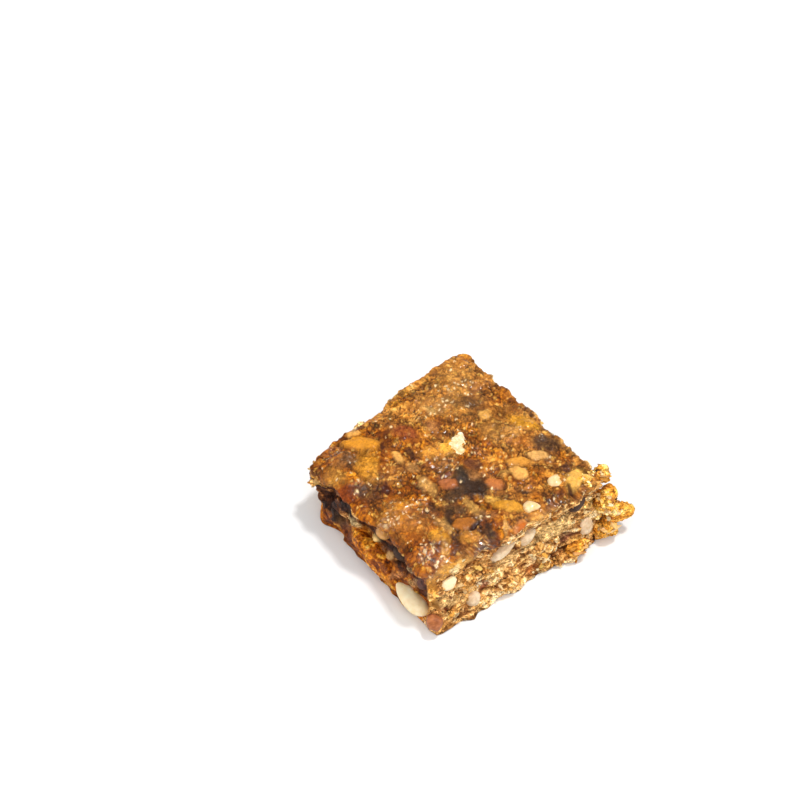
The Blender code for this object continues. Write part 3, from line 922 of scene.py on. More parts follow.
# Bits of the two sides beside the front corner, in the same order.
FRONT_MARKS = (
    Mark(1.2, 6.6, 1.4, 1.8, 48.0, (58, 14, 6), 0.95, -0.5, 0.3),
    Mark(3.3, 4.7, 4.8, 0.7, -52.0, (92, 34, 10), 0.85, -0.25, 0.4),
    Mark(11.6, 4.4, 1.6, 1.5, 7.0, (150, 76, 44), 0.85, 0.0, 0.4),
    Mark(29.2, 4.4, 2.6, 1.9, 21.0, (104, 60, 44), 0.85, -0.15, 0.4),
    Mark(29.7, 9.6, 6.0, 0.5, -10.0, (70, 32, 14), 0.9, -0.1, 0.4),
    Mark(24.8, 13.4, 5.1, 2.0, -11.0, (226, 164, 82), 0.6, 0.0, 0.5),
    Mark(26.9, 7.3, 8.0, 4.6, 12.0, (244, 208, 142), 0.7, 0.0, 0.7),
    Mark(4.2, 12.9, 3.6, 3.0, 25.0, (240, 172, 66), 0.8, 0.0, 0.6),
    Mark(0.9, 9.8, 2.6, 6.0, 0.0, (222, 156, 66), 0.7, 0.0, 0.7),
    Mark(7.6, 12.6, 5.0, 2.2, -10.0, (238, 186, 104), 0.6, 0.0, 0.7),
    Mark(6.1, 11.7, 1.7, 3.0, 7.0, (252, 224, 166), 0.8, 0.0, 0.4),
    Mark(17.0, 1.1, 4.0, 2.3, 4.0, (220, 160, 80), 0.6, 0.15, 0.6),
    Mark(21.4, 2.0, 2.1, 1.9, -10.0, (176, 104, 50), 0.8, 0.05, 0.4),
    Mark(22.1, 4.4, 2.0, 1.6, 25.0, (150, 84, 44), 0.75, 0.0, 0.4),
    Mark(14.0, 7.1, 1.6, 1.1, 15.0, (110, 60, 26), 0.8, -0.2, 0.4),
    Mark(14.9, 4.0, 2.2, 0.6, -18.0, (78, 34, 12), 0.9, -0.25, 0.4),
    Mark(17.0, 6.6, 5.0, 2.0, 9.0, (232, 190, 128), 0.65, 0.0, 0.6),
    Mark(8.9, 7.8, 6.3, 0.9, 11.0, (232, 190, 118), 0.6, 0.15, 0.5),
    Mark(7.5, 6.1, 4.8, 1.2, 7.0, (150, 96, 44), 0.6, -0.15, 0.5),
    Mark(4.5, 5.6, 5.7, 1.8, -29.0, (230, 190, 126), 0.7, 0.15, 0.5),
    Mark(21.4, 3.5, 1.6, 1.6, 47.0, (224, 182, 130), 0.8, 0.1, 0.4),
    Mark(2.4, 1.1, 4.5, 1.7, 2.0, (214, 156, 84), 0.8, 0.1, 0.5),
    Mark(30.6, 2.3, 2.7, 2.9, 33.0, (232, 178, 92), 0.7, 0.2, 0.5),
    Mark(35.5, 8.8, 5.3, 1.6, -20.0, (236, 196, 118), 0.6, 0.1, 0.5),
    Mark(12.3, 6.8, 3.1, 0.9, -3.0, (120, 72, 32), 0.7, -0.2, 0.4),
    Mark(24.6, 5.4, 4.0, 0.9, 14.0, (124, 74, 34), 0.7, -0.2, 0.4),
)

LEFT_MARKS = (
    Mark(16.6, 6.8, 3.0, 1.6, -34.0, (240, 196, 120), 0.9, 0.2, 0.35),
    Mark(22.2, 5.9, 2.8, 2.0, 20.0, (230, 196, 136), 0.9, 0.2, 0.4),
    Mark(18.4, 3.5, 3.1, 2.5, 1.0, (150, 74, 24), 0.7, 0.0, 0.6),
    Mark(13.7, 3.2, 5.0, 4.5, -17.0, (190, 120, 44), 0.6, 0.1, 0.6),
    Mark(12.7, 6.1, 1.4, 1.9, 44.0, (206, 160, 104), 0.85, 0.25, 0.35),
    Mark(14.5, 11.4, 2.0, 1.1, 10.0, (184, 130, 84), 0.8, 0.2, 0.4),
    Mark(8.4, 6.6, 1.6, 1.4, -50.0, (206, 172, 130), 0.85, 0.2, 0.4),
    Mark(11.1, 4.0, 3.5, 0.8, -9.0, (196, 130, 76), 0.7, 0.1, 0.5),
    Mark(6.4, 5.6, 3.3, 1.1, -40.0, (204, 160, 116), 0.7, 0.2, 0.4),
    Mark(3.8, 5.9, 6.0, 2.7, -44.0, (74, 36, 22), 0.9, 0.0, 0.4),
    Mark(25.5, 4.9, 4.0, 3.6, -23.0, (120, 84, 46), 0.7, 0.1, 0.5),
    Mark(26.9, 4.4, 2.8, 2.4, -12.0, (44, 26, 18), 0.85, 0.0, 0.5),
    Mark(23.1, 2.7, 3.0, 5.0, -15.0, (96, 46, 22), 0.7, 0.0, 0.5),
)

# What the syrup leaves of the red, green and blue of the bits under it.
SYRUP = np.array((0.96, 0.89, 0.76))

# Where syrup has pooled on the top: x, y and radius in millimetres.
WET_SPOTS = (
    (-17.3, -12.7, 2.8), (-18.0, 6.7, 1.6), (-16.3, 16.1, 1.8), (-15.1, 12.2, 1.2), (-18.1, -2.8, 1.8),
    (-14.9, -2.9, 1.2), (-15.8, -0.2, 1.2), (-2.9, 0.3, 1.6), (-5.2, -1.4, 1.6), (1.4, -5.1, 1.6),
    (-12.1, -5.1, 1.0), (-9.5, -17.3, 2.0), (5.3, -17.0, 1.2), (4.0, -12.0, 1.0), (-15.0, -17.7, 1.6),
    (-17.1, -14.5, 1.6), (-18.1, -3.7, 1.4), (2.8, -0.1, 1.2), (11.6, -9.1, 1.0), (14.0, -4.7, 1.0),
)


@dataclass(frozen=True)
class Chunks:
    """Packed chunks of one size: how flat they lie, how much their shades differ, how far they stand."""

    size: float
    flat: float
    spread: float
    rise: float
    seed: int
    edge: float = 0.2
    seam: float = 0.8

    def add(self, points: np.ndarray, tone: np.ndarray, height: np.ndarray) -> tuple[np.ndarray, np.ndarray]:
        """Give each chunk its own tone and its own stand, domed, with a low dark seam round it: partly darker
        syrup, partly painted shade.

        Args:
            points: Warped rows of x, y, z in millimetres.
            tone: How light each point is so far, about 0 on average.
            height: Heights so far.

        Returns:
            The new tones and heights.
        """
        near, second, number = cell_noise(points * (1.0, 1.0, self.flat), self.size, self.seed)
        inside = smooth_step(0.0, self.edge * self.size, second - near)
        own = draw(number, self.seed + 1, -1.0, 1.0)
        # The seam is darker and lower: partly darker syrup, partly painted shade.
        tone = tone + self.spread * (own * inside - self.seam * (1.0 - inside))
        stand = draw(number, self.seed + 2, -0.5, 0.5) + 0.7 * (0.5 - near / self.size) + 0.2 * own
        return tone, height + self.rise * (stand * inside - 0.4 * (1.0 - inside))


FLAKY = (Chunks(5.0, 4.2, 0.26, 0.5, 150), Chunks(2.4, 3.6, 0.36, 0.34, 160),
         Chunks(1.0, 2.2, 0.34, 0.14, 170))
CRUMBS = (Chunks(2.0, 1.2, 0.3, 0.36, 230), Chunks(0.9, 1.2, 0.3, 0.16, 240))
FINE = (Chunks(1.3, 1.0, 0.24, 0.3, 210), Chunks(0.55, 1.0, 0.2, 0.1, 220))
SOFT = (Chunks(3.2, 1.6, 0.4, 0.4, 180, 0.35, 0.5), Chunks(1.5, 1.4, 0.34, 0.2, 190, 0.3, 0.5),
        Chunks(0.7, 1.2, 0.22, 0.08, 200, 0.3, 0.5))


@dataclass(frozen=True)
class Mixture:
    """One kind of cut mix: its colours and chunks, its share of pits, how wet and how split it is; pits and
    splits are painted dark as shade.
    """

    shades: Shades
    chunks: tuple[Chunks, ...]
    pits: float
    wet: float
    splits: float = 0.0
    calm: float = 0.0


CRUMBLY = Mixture(SIDE_SHADES, FLAKY, 0.14, 0.05, 1.7)
CLUMP = Mixture(CLUMP_SHADES, CRUMBS, 0.1, 0.05)
CAVITY = Mixture(CAVITY_SHADOW_SHADES, SOFT, 0.5, 0.5)
LEDGE = Mixture(LEDGE_SHADES, SOFT, 0.06, 0.5)
CREAM_CRUMB = Mixture(CREAM_SHADES, FINE, 0.0, 0.05, calm=0.75)


@dataclass(frozen=True)
class Look:
    """What the mix's finish reads at each point: linear colour, height, stickiness and calmness."""

    tint: np.ndarray
    height: np.ndarray
    sticky: np.ndarray
    calm: np.ndarray

    def over(self, other: "Look", share: np.ndarray) -> "Look":
        """Go from this look to the other as share goes from 0 to 1."""
        return Look(*(mix(getattr(self, name), getattr(other, name), share)
                      for name in ("tint", "height", "sticky", "calm")))


@dataclass(frozen=True)
class Bits:
    """Small bits of one colour strewn in the top: their size, share of the grains and strength."""

    size: float
    seed: int
    share: float
    colour: Colour
    strength: float


@dataclass(frozen=True)
class Grain:
    """Colour, relief and stickiness of the mix at any point of the block's surface."""

    top_chunks: tuple[Chunks, ...] = (
        Chunks(3.2, 1.0, 0.12, 0.36, 110, 0.35, 0.4),
        Chunks(1.6, 1.0, 0.26, 0.2, 120, 0.25, 0.6),
        Chunks(0.8, 1.0, 0.26, 0.1, 130, 0.25, 0.6),
    )
    bits: tuple[Bits, ...] = (
        Bits(1.2, 144, 0.14, (238, 182, 84), 0.6),
        Bits(0.9, 146, 0.16, (96, 50, 18), 0.7),
        Bits(0.7, 148, 0.2, (244, 198, 110), 0.65),
        Bits(0.55, 152, 0.24, (88, 44, 14), 0.7),
    )
    crack_sizes: tuple = ((2.6, 140), (1.3, 150), (0.8, 154))
    # Colour of the small specks of painted glint on the skin.
    painted_glint_colour: Colour = (252, 220, 166)
    skin_calm: float = 0.45
    keep: float = 0.8

    @staticmethod
    def warp(points: np.ndarray) -> np.ndarray:
        """Push points about by noise of two sizes, so that grains lose their round outlines.

        Args:
            points: Rows of x, y, z in millimetres.

        Returns:
            The moved points.
        """
        moved = points.copy()
        for axis in range(3):
            moved[:, axis] += 0.6 * value_noise(points, 1.9, 40 + axis)
            moved[:, axis] += 0.26 * value_noise(points, 0.6, 50 + axis)
        return moved

    def cloud(self, points: np.ndarray, size: float, octaves: int, seed: int) -> np.ndarray:
        """Noise of several sizes, each half as wide as the one before."""
        return sum(self.keep ** k * value_noise(points, size / 2 ** k, seed + k)
                   for k in range(octaves))

    @staticmethod
    def rank(tone: np.ndarray, spread: float) -> np.ndarray:
        """Turn tones into ranks from 0 to 1 by the logistic curve 1 / (1 + e^(-1.7 tone / spread))."""
        return 1.0 / (1.0 + np.exp(-1.7 * tone / spread))

    def cracks(self, points: np.ndarray, warped: np.ndarray) -> np.ndarray:
        """Fine cracks where two grains meet, for grains of several sizes.

        Args:
            points: Rows of x, y, z in millimetres.
            warped: The same, pushed about.

        Returns:
            1 in a crack to 0 outside it.
        """
        crack = np.zeros(len(points))
        for size, seed in self.crack_sizes:
            near, second, _number = cell_noise(warped, size, seed)
            gate = smooth_step(0.05, 0.3, value_noise(points, 1.8, seed + 1))
            crack = np.maximum(crack, smooth_step(0.17, 0.05, second - near) * gate)
        return crack

    @staticmethod
    def wetness(points: np.ndarray, warped: np.ndarray) -> np.ndarray:
        """How much syrup stands on the top: a little in broad patches, the most in pooled spots.

        Args:
            points: Rows of x, y, z in millimetres.
            warped: The same, pushed about.

        Returns:
            0 for none to 1 for a pool.
        """
        wet = smooth_step(0.3, 0.7, value_noise(points, 3.0, 76)) * 0.5
        for x, y, radius in WET_SPOTS:
            away = np.hypot(warped[:, 0] - x, warped[:, 1] - y) / radius
            wet = np.maximum(wet, smooth_step(1.2, 0.6, away))
        return wet

    def top(self, points: np.ndarray) -> Look:
        """The pressed skin: soft chunks under syrup, bits, cracks of darker syrup and painted shade, the
        larger marks on them, and painted glints.

        Args:
            points: Rows of x, y, z in millimetres.

        Returns:
            The skin's look.
        """
        warped = self.warp(points)
        tone = 0.22 * self.cloud(points, 4.5, 3, 60) + 0.24 * value_noise(points, 0.45, 66)
        height = layered(points, (0.28, 2.4, 71), (0.12, 0.9, 72))
        for chunks in self.top_chunks:
            tone, height = chunks.add(warped, tone, height)
        tone = tone - 0.26 * smooth_step(0.0, -12.0, points[:, 0])
        tone = tone - 0.1 * smooth_step(-6.0, -16.0, points[:, 1])
        warmth = layered(points, (1.0, 5.0, 74), (0.6, 1.8, 75)) - 0.035 * points[:, 0]
        warmth = smooth_step(-0.4, 0.7, warmth)
        rank = self.rank(tone, 0.46)
        tint = mix(TAN_SHADES.at(rank), AMBER_SHADES.at(rank), warmth)
        for bits in self.bits:
            near, _second, number = cell_noise(warped, bits.size, bits.seed)
            bit = smooth_step(0.44 * bits.size, 0.34 * bits.size, near)
            bit = bit * (draw(number, bits.seed + 1) < bits.share)
            tint = mix(tint, np.array(linear(*bits.colour))[None], bits.strength * bit)
        crack = self.cracks(points, warped)
        wet = self.wetness(points, warped)
        # The cracks are sunk and darkened: partly darker syrup, partly painted shade.
        tint = tint * (1.0 - 0.7 * crack)[:, None]
        height = height - 0.16 * crack
        ripples = layered(points, (0.18, 0.8, 77), (0.12, 0.5, 78))
        sticky = np.clip(0.5 + 0.16 * value_noise(points, 2.4, 73) + 0.5 * wet, 0.0, 1.0)
        look = Look(tint, height, sticky, np.full(len(points), self.skin_calm))
        look = self.marked(look, points, warped, tone, TOP_MARKS)
        # Painted glints: small near-white specks, most where syrup has pooled, none on calm marks.
        near, _second, number = cell_noise(warped, 0.6, 142)
        painted_glint = smooth_step(0.3, 0.18, near) * (draw(number, 143) < 0.02 + 0.26 * wet)
        painted_glint = painted_glint * 0.85 * smooth_step(0.8, 0.55, look.calm)
        tint = mix(look.tint * SYRUP, np.array(linear(*self.painted_glint_colour))[None], painted_glint)
        return Look(tint, look.height + ripples * wet, sticky, look.calm)

    @staticmethod
    def marked(look: Look, places: np.ndarray, warped: np.ndarray, tone: np.ndarray,
               marks: Sequence[Mark]) -> Look:
        """Lay larger bits into a look: each one's colour, its own rise and a dark rim of painted shade round
        crisp ones.

        Args:
            look: The look under them.
            places: Where each point is in the marks' plane.
            warped: The same, pushed about, for the softer outlines.
            tone: How light each point's grain is.
            marks: The bits.

        Returns:
            The look with the bits.
        """
        tint, height, calm = look.tint, look.height, look.calm
        for mark in marks:
            crisp = mark.soft < CRISP
            away = mark.cover(mix(places, warped, np.full(len(places), 0.5 if crisp else 1.0)))
            cover = smooth_step(1.0 + mark.soft, 1.0 - mark.soft, away)
            # Painted shade: a dark ring just outside each crisp bit, sunk a little.
            rim = smooth_step(1.4, 1.05, away) * (1.0 - cover) * crisp
            grain = np.clip(1.0 + (0.3 if crisp else 0.5) * tone, 0.4, 1.6)[:, None]
            tint = mix(tint, np.array(linear(*mark.colour)) * grain, cover * mark.strength)
            tint = tint * (1.0 - 0.45 * rim)[:, None]
            height = height * (1.0 - 0.5 * cover * mark.strength * crisp)
            height = height + mark.rise * np.sqrt(np.clip(1.0 - away ** 2, 0.0, 1.0)) - 0.1 * rim
            calm = np.maximum(calm, 0.85 * cover * crisp)
        return Look(tint, height, look.sticky, calm)

    def side(self, points: np.ndarray, kind: Mixture) -> Look:
        """A cut side: flaky chunks lying flat, with cracks and holes between them, painted darker there and
        in low places as shade.

        Args:
            points: Rows of x, y, z in millimetres.
            kind: The kind of mix.

        Returns:
            The side's look.
        """
        warped = self.warp(points)
        tone = 0.3 * self.cloud(points * (0.8, 0.8, 1.8), 2.0, 3, 80)
        tone += 0.4 * self.cloud(points * (0.25, 0.25, 2.0), 1.2, 2, 85)
        height = 0.2 * value_noise(points * (1.0, 1.0, 1.6), 0.9, 90)
        for chunks in kind.chunks:
            tone, height = chunks.add(warped, tone, height)
        near, _second, number = cell_noise(warped * (0.5, 0.5, 2.0), 1.5, 87)
        radius = draw(number, 88, 0.2, 0.7) * (draw(number, 89) < kind.pits)
        pit = smooth_step(0.0, 0.3, radius - near)
        split = np.abs(value_noise(warped * (0.4, 0.4, 1.8), 1.3, 92))
        split = smooth_step(0.09, 0.0, split) * smooth_step(0.0, 0.3, value_noise(points, 1.5, 93))
        # Painted shade: pits, splits and low places are made darker, raised chunks lighter.
        tone = tone + 0.35 * height - 1.0 * pit - 1.1 * split * kind.splits
        tint = kind.shades.at(self.rank(tone, 0.5))
        height = height - 0.75 * pit - 0.15 - 0.25 * split * kind.splits
        sticky = np.clip(kind.wet + 0.2 * value_noise(points, 1.5, 91), 0.0, 1.0)
        return Look(tint, height, sticky, np.full(len(points), kind.calm))


@dataclass
class PressedBlock:
    """The whole block as one closed surface: top grid, side band and underside rings."""

    form: BarForm
    grain: Grain
    cells: int = 190
    layers: int = 64
    rings: int = 10
    skin_reach: float = 3.4
    lip_reach: float = 2.4
    least_reach: float = 0.9
    stands_for: tuple[str, ...] = (
        "bar_mix", "nut_long_top", "chip_middle_top", "chip_back_top", "skin_left_top",
        "skin_right_top", "kernel_yellow_top", "seed_golden_top", "seed_pale_top")
    points: np.ndarray = field(default_factory=lambda: np.zeros((0, 3)))
    normals: np.ndarray = field(default_factory=lambda: np.zeros((0, 3)))
    unit: np.ndarray = field(default_factory=lambda: np.zeros((0, 3)))
    skin: np.ndarray = field(default_factory=lambda: np.zeros(0))

    def grid(self) -> tuple[np.ndarray, np.ndarray, np.ndarray]:
        """Lay out the unit block: its top, sides and underside as one closed grid.

        Returns:
            Rows of u, v, t, the quads, and the triangles round the underside's middle.
        """
        n, across = self.cells, np.linspace(-1.0, 1.0, self.cells + 1)
        v_grid, u_grid = np.meshgrid(across, across, indexing="ij")
        top = np.stack([u_grid.ravel(), v_grid.ravel(), np.ones(u_grid.size)], axis=1)
        index = np.arange((n + 1) ** 2).reshape(n + 1, n + 1)
        ring = np.concatenate([index[0, :-1], index[:-1, -1], index[-1, :0:-1], index[:0:-1, 0]])
        u, v = top[ring, 0], top[ring, 1]
        falls = 1.0 - np.linspace(0.0, 1.0, self.layers + 1)[1:]
        band = [np.stack([u, v, np.full(u.size, t)], axis=1) for t in falls]
        shrink = np.linspace(1.0, 0.0, self.rings + 1)[1:-1]
        under = [np.stack([u * s, v * s, np.zeros(u.size)], axis=1) for s in shrink]
        unit = np.concatenate([top, *band, *under, np.zeros((1, 3))])
        loops = [ring] + [np.arange(u.size) + top.shape[0] + u.size * k
                          for k in range(self.layers + self.rings - 1)]
        quads = [np.stack([index[:-1, :-1], index[:-1, 1:], index[1:, 1:], index[1:, :-1]],
                          axis=-1).reshape(-1, 4)]
        for upper, lower in zip(loops[:-1], loops[1:]):
            quads.append(np.stack([upper, lower, np.roll(lower, -1), np.roll(upper, -1)], axis=1))
        last, middle = loops[-1], np.full(u.size, len(unit) - 1)
        fan = np.stack([last, middle, np.roll(last, -1)], axis=1)
        return unit, np.concatenate(quads), fan

    @staticmethod
    def point_normals(points: np.ndarray, quads: np.ndarray) -> np.ndarray:
        """Mean normal at each point: the crossed diagonals of its quads, added up.

        Args:
            points: Rows of x, y, z.
            quads: Rows of four point numbers.

        Returns:
            One unit direction a point.
        """
        a, b, c, d = (points[quads[:, k]] for k in range(4))
        face = np.cross(c - a, d - b)
        total = np.zeros_like(points)
        for k in range(4):
            np.add.at(total, quads[:, k], face)
        return total / np.maximum(np.linalg.norm(total, axis=1, keepdims=True), 1e-12)

    def build(self, material: bpy.types.Material) -> bpy.types.Object:
        """Compute the surface, its relief and its colours.

        Args:
            material: The mix's finish.

        Returns:
            The block.
        """
        unit, quads, fan = self.grid()
        base, _outs = self.form.surface(unit[:, 0], unit[:, 1], unit[:, 2])
        normals = self.point_normals(base, quads)
        under = unit[:, 2] < 1e-6
        normals[under, 2] = 0.0
        self.skin = self.skin_share(unit, base)
        look = self.look(unit, base)
        inner = under & (np.maximum(np.abs(unit[:, 0]), np.abs(unit[:, 1])) < RIM)
        height = np.where(inner, 0.0, look.height)
        self.points = base + normals * height[:, None]
        self.points[:, 2] = np.where(inner, 0.0, settle(self.points[:, 2], 0.0))
        self.unit = unit
        self.normals = self.point_normals(self.points, quads)
        piece = PieceMesh(self.points, quads, fan, look)
        return piece.make("pressed_block", material, self.stands_for)

    def skin_share(self, unit: np.ndarray, base: np.ndarray) -> np.ndarray:
        """Where the pressed skin is, 0 to 1: the top, and down each side by a ragged reach.

        Args:
            unit: Rows of u, v, t.
            base: The points on the bar.

        Returns:
            One share a point.
        """
        depth = (1.0 - unit[:, 2]) * self.form.height
        reach = self.skin_reach * smooth_step(0.1, -0.9, unit[:, 0]) * (unit[:, 1] < -0.99)
        reach = reach + self.lip_reach * smooth_step(-0.98, -1.0, unit[:, 0]) + self.least_reach
        reach = reach * (1.0 + 0.45 * value_noise(base, 1.6, 95))
        return smooth_step(0.5, -0.5, depth - reach)

    def look(self, unit: np.ndarray, base: np.ndarray) -> Look:
        """The block's look: crumbly sides, the torn one with its hollow in dark mix and painted shade, the
        skin, then the marks.

        Args:
            unit: Rows of u, v, t.
            base: The points on the bar.

        Returns:
            The look of every point.
        """
        on_left = self.form.torn(unit, base)
        level = base[:, 2] + 1.4 * value_noise(base, 2.6, 96) + 0.6 * value_noise(base, 1.1, 97)
        # The hollow under the left lip takes the cavity colours: dark mix with painted shade.
        cavity = on_left * smooth_step(5.0, 6.6, level + 3.0 * smooth_step(6.0, 9.0, base[:, 1]))
        look = self.grain.side(base, CRUMBLY).over(self.grain.side(base, LEDGE), on_left)
        look = look.over(self.grain.side(base, CAVITY), cavity).over(self.grain.top(base), self.skin)
        push = self.grain.warp(base) - base
        tone = value_noise(base, 0.9, 98)
        flat = np.zeros(len(base))
        for side, row, marks in ((Side.FRONT, 1, FRONT_MARKS), (Side.LEFT, 0, LEFT_MARKS)):
            along = (unit[:, 1 - row] + 1.0) * 0.5 * self.form.side_lengths[side.value]
            places = np.stack([along, unit[:, 2] * self.form.height, flat], axis=1)
            level_push = np.stack([push[:, 1 - row], push[:, 2], flat], axis=1)
            marked = self.grain.marked(look, places, places + level_push, tone, marks)
            look = look.over(marked, (unit[:, row] < -RIM).astype(float))
        return look


def ball(columns: int, rows: int) -> tuple[np.ndarray, np.ndarray, np.ndarray, np.ndarray]:
    """A closed unit ball with its poles on the x axis: points by the angle from it and round it.

    Args:
        columns: Faces round the axis.
        rows: Faces from pole to pole.

    Returns:
        Points, quads, the pole triangles, and each point's place on the grid.
    """
    down = np.linspace(0.0, math.pi, rows + 1)[1:-1]
    turn = np.linspace(0.0, math.tau, columns, endpoint=False)
    a, b = np.meshgrid(down, turn, indexing="ij")
    body = np.stack([np.cos(a), np.sin(a) * np.cos(b), np.sin(a) * np.sin(b)], axis=-1)
    points = np.concatenate([body.reshape(-1, 3), [[1.0, 0.0, 0.0], [-1.0, 0.0, 0.0]]])
    index = np.arange((rows - 1) * columns).reshape(rows - 1, columns)
    right = np.roll(index, -1, axis=1)
    quads = np.stack([index[:-1], index[1:], right[1:], right[:-1]], axis=-1).reshape(-1, 4)
    near = np.full(columns, len(points) - 2)
    far = np.full(columns, len(points) - 1)
    caps = np.concatenate([np.stack([near, index[0], right[0]], axis=1),
                           np.stack([far, right[-1], index[-1]], axis=1)])
    wrap = np.stack([points[:, 0], np.arctan2(points[:, 2], points[:, 1]) / math.tau,
                     np.zeros(len(points))], axis=1)
    return points, quads, caps, wrap


@dataclass(frozen=True)
class SetPiece:
    """One piece set in the block: where it sits, its size, its turn and its shape's numbers.

    A piece on the top is placed by x and y, one on a side by the distance from the side's first
    corner and the height.
    """

    node: str
    slot: str
    side: Side
    place: tuple[float, float]
    size: Triple
    turn: float = 0.0
    proud: float = 0.35
    tip: float = 0.0
    bend: float = 0.0
    lumps: float = 0.08
    seed: int = 1
    columns: int = 56
    rows: int = 40
    roughen: float = 0.04
    rough_size: float = 0.6
    crust: Optional[Mixture] = None
    crust_relief: float = 0.4

    def seat(self, form: BarForm) -> tuple[np.ndarray, np.ndarray]:
        """The piece's middle and its frame: rows along, across and out of the face.

        Args:
            form: The block's form.

        Returns:
            The middle in millimetres and three unit directions.
        """
        if self.side is Side.TOP:
            point, out = form.top_point(*self.place), np.array([0.0, 0.0, 1.0])
            along, turn = np.array([1.0, 0.0, 0.0]), self.turn
        else:
            point, out = form.side_point(self.side, *self.place)
            along, turn = np.cross([0.0, 0.0, 1.0], out), self.turn
            if self.side is Side.LEFT:
                along, turn = -along, -self.turn
        across = np.cross(out, along)
        cos, sin = math.cos(math.radians(turn)), math.sin(math.radians(turn))
        frame_rows = np.array([along * cos + across * sin, across * cos - along * sin, out])
        return point + out * (self.proud - self.size[2] / 2), frame_rows

    def shape(self, points: np.ndarray) -> np.ndarray:
        """Shape the unit ball: dents by noise, a taper to a tip, the size, a bend along its length.

        Args:
            points: Points of the unit ball.

        Returns:
            Points in millimetres about the piece's middle.
        """
        radius = 1.0 + self.lumps * value_noise(points + self.seed * 7.3, 0.7, self.seed)
        radius += self.roughen * value_noise(points + self.seed * 3.1, self.rough_size * 0.5, self.seed + 200)
        narrowing = 1.0 - self.tip * np.clip(points[:, 0], -0.6, 1.0)
        shaped = points * radius[:, None]
        shaped[:, 1] *= narrowing
        shaped[:, 2] *= narrowing ** 0.5
        shaped *= np.array(self.size) / 2
        if self.bend:
            bow = self.size[0] / math.radians(self.bend) / 2
            angle = shaped[:, 0] / bow
            reach = bow - shaped[:, 1]
            shaped[:, 0] = reach * np.sin(angle)
            shaped[:, 1] = bow - reach * np.cos(angle)
        return shaped

    def build(self, form: BarForm, grain: Grain, material: bpy.types.Material) -> bpy.types.Object:
        """Make the piece where its solid is.

        Args:
            form: The block's form.
            grain: The mix's grains, for a piece with a crust.
            material: Its finish.

        Returns:
            The piece.
        """
        points, quads, caps, wrap = ball(self.columns, self.rows)
        middle, rows = self.seat(form)
        placed = self.shape(points) @ rows + middle
        look = None
        if self.crust is not None:
            look = grain.side(placed, self.crust)
            placed = placed + (points @ rows) * (self.crust_relief * look.height)[:, None]
        piece = PieceMesh(placed, quads, caps, look, wrap)
        return piece.make(self.node + "_look", material, (self.node,))


SET_PIECES = (
    SetPiece("cashew_chunk", "cashew", Side.LEFT, (6.2, 2.6), (8.0, 2.9, 3.6), turn=5.0, proud=1.5,
             tip=0.25, bend=-20.0, lumps=0.05, seed=3, columns=72, rows=56, roughen=0.02),
    SetPiece("apricot_slab", "fruit", Side.LEFT, (16.9, 3.2), (12.4, 4.4, 4.6), turn=2.0, proud=1.3,
             tip=0.2, lumps=0.13, seed=4, columns=140, rows=150, roughen=0.06, crust=LEDGE),
    SetPiece("chip_left", "chocolate", Side.LEFT, (10.9, 7.6), (3.4, 3.0, 3.2), turn=10.0, proud=0.9,
             lumps=0.04, seed=5),
    SetPiece("raisin_left", "raisin", Side.LEFT, (3.1, 8.0), (2.8, 3.4, 2.8), turn=20.0, proud=0.6,
             tip=0.1, lumps=0.16, seed=6, roughen=0.1),
    SetPiece("dark_edge_left", "chocolate", Side.LEFT, (26.2, 5.2), (6.6, 5.0, 3.2), turn=-12.0,
             proud=0.6, lumps=0.14, seed=7, columns=100, rows=90, roughen=0.08, crust=CAVITY),
    SetPiece("tan_nut_left", "golden_nut", Side.LEFT, (14.6, 9.9), (3.6, 2.6, 2.6), turn=-40.0,
             proud=0.9, tip=0.2, lumps=0.1, seed=8),
    SetPiece("almond_corner", "almond", Side.FRONT, (0.4, 3.0), (2.8, 3.4, 2.8), turn=20.0, proud=1.0,
             tip=0.25, lumps=0.1, seed=9),
    SetPiece("cream_nut_front", "cashew", Side.FRONT, (4.8, 8.6), (3.0, 2.2, 2.6), turn=10.0,
             proud=0.7, tip=0.2, lumps=0.1, seed=10),
    SetPiece("kernel_front_1", "kernel", Side.FRONT, (16.2, 9.3), (5.6, 1.9, 2.6), turn=14.0,
             proud=0.7, tip=0.45, lumps=0.03, seed=11),
    SetPiece("kernel_front_2", "kernel", Side.FRONT, (21.4, 9.1), (4.0, 2.2, 2.6), turn=20.0,
             proud=0.7, tip=0.4, lumps=0.03, seed=12),
    SetPiece("kernel_front_3", "kernel", Side.FRONT, (33.3, 4.7), (3.6, 2.9, 2.4), turn=75.0,
             proud=0.9, tip=0.3, lumps=0.03, seed=13),
    SetPiece("kernel_front_4", "kernel", Side.FRONT, (8.9, 2.9), (2.9, 2.6, 2.4), turn=45.0, proud=0.7,
             tip=0.3, lumps=0.03, seed=14),
    SetPiece("dark_flake_front", "chocolate", Side.FRONT, (31.6, 11.7), (3.7, 2.2, 1.8), turn=24.0,
             proud=0.7, tip=0.3, seed=15),
    SetPiece("nut_pale_top", "cashew", Side.TOP, (1.6, 3.3), (5.2, 3.9, 3.0), turn=48.0, proud=0.45,
             tip=0.2, lumps=0.14, seed=17, columns=80, rows=60, roughen=0.1, crust=CREAM_CRUMB),
    SetPiece("seed_sesame_top", "seed", Side.TOP, (2.4, -15.3), (3.1, 2.1, 1.8), turn=-32.0,
             proud=0.45, tip=0.45, lumps=0.03, seed=25),
    SetPiece("seed_cream_top", "seed", Side.TOP, (9.4, -13.4), (3.1, 2.5, 2.0), turn=20.0, proud=0.5,
             tip=0.4, lumps=0.04, seed=26),
)

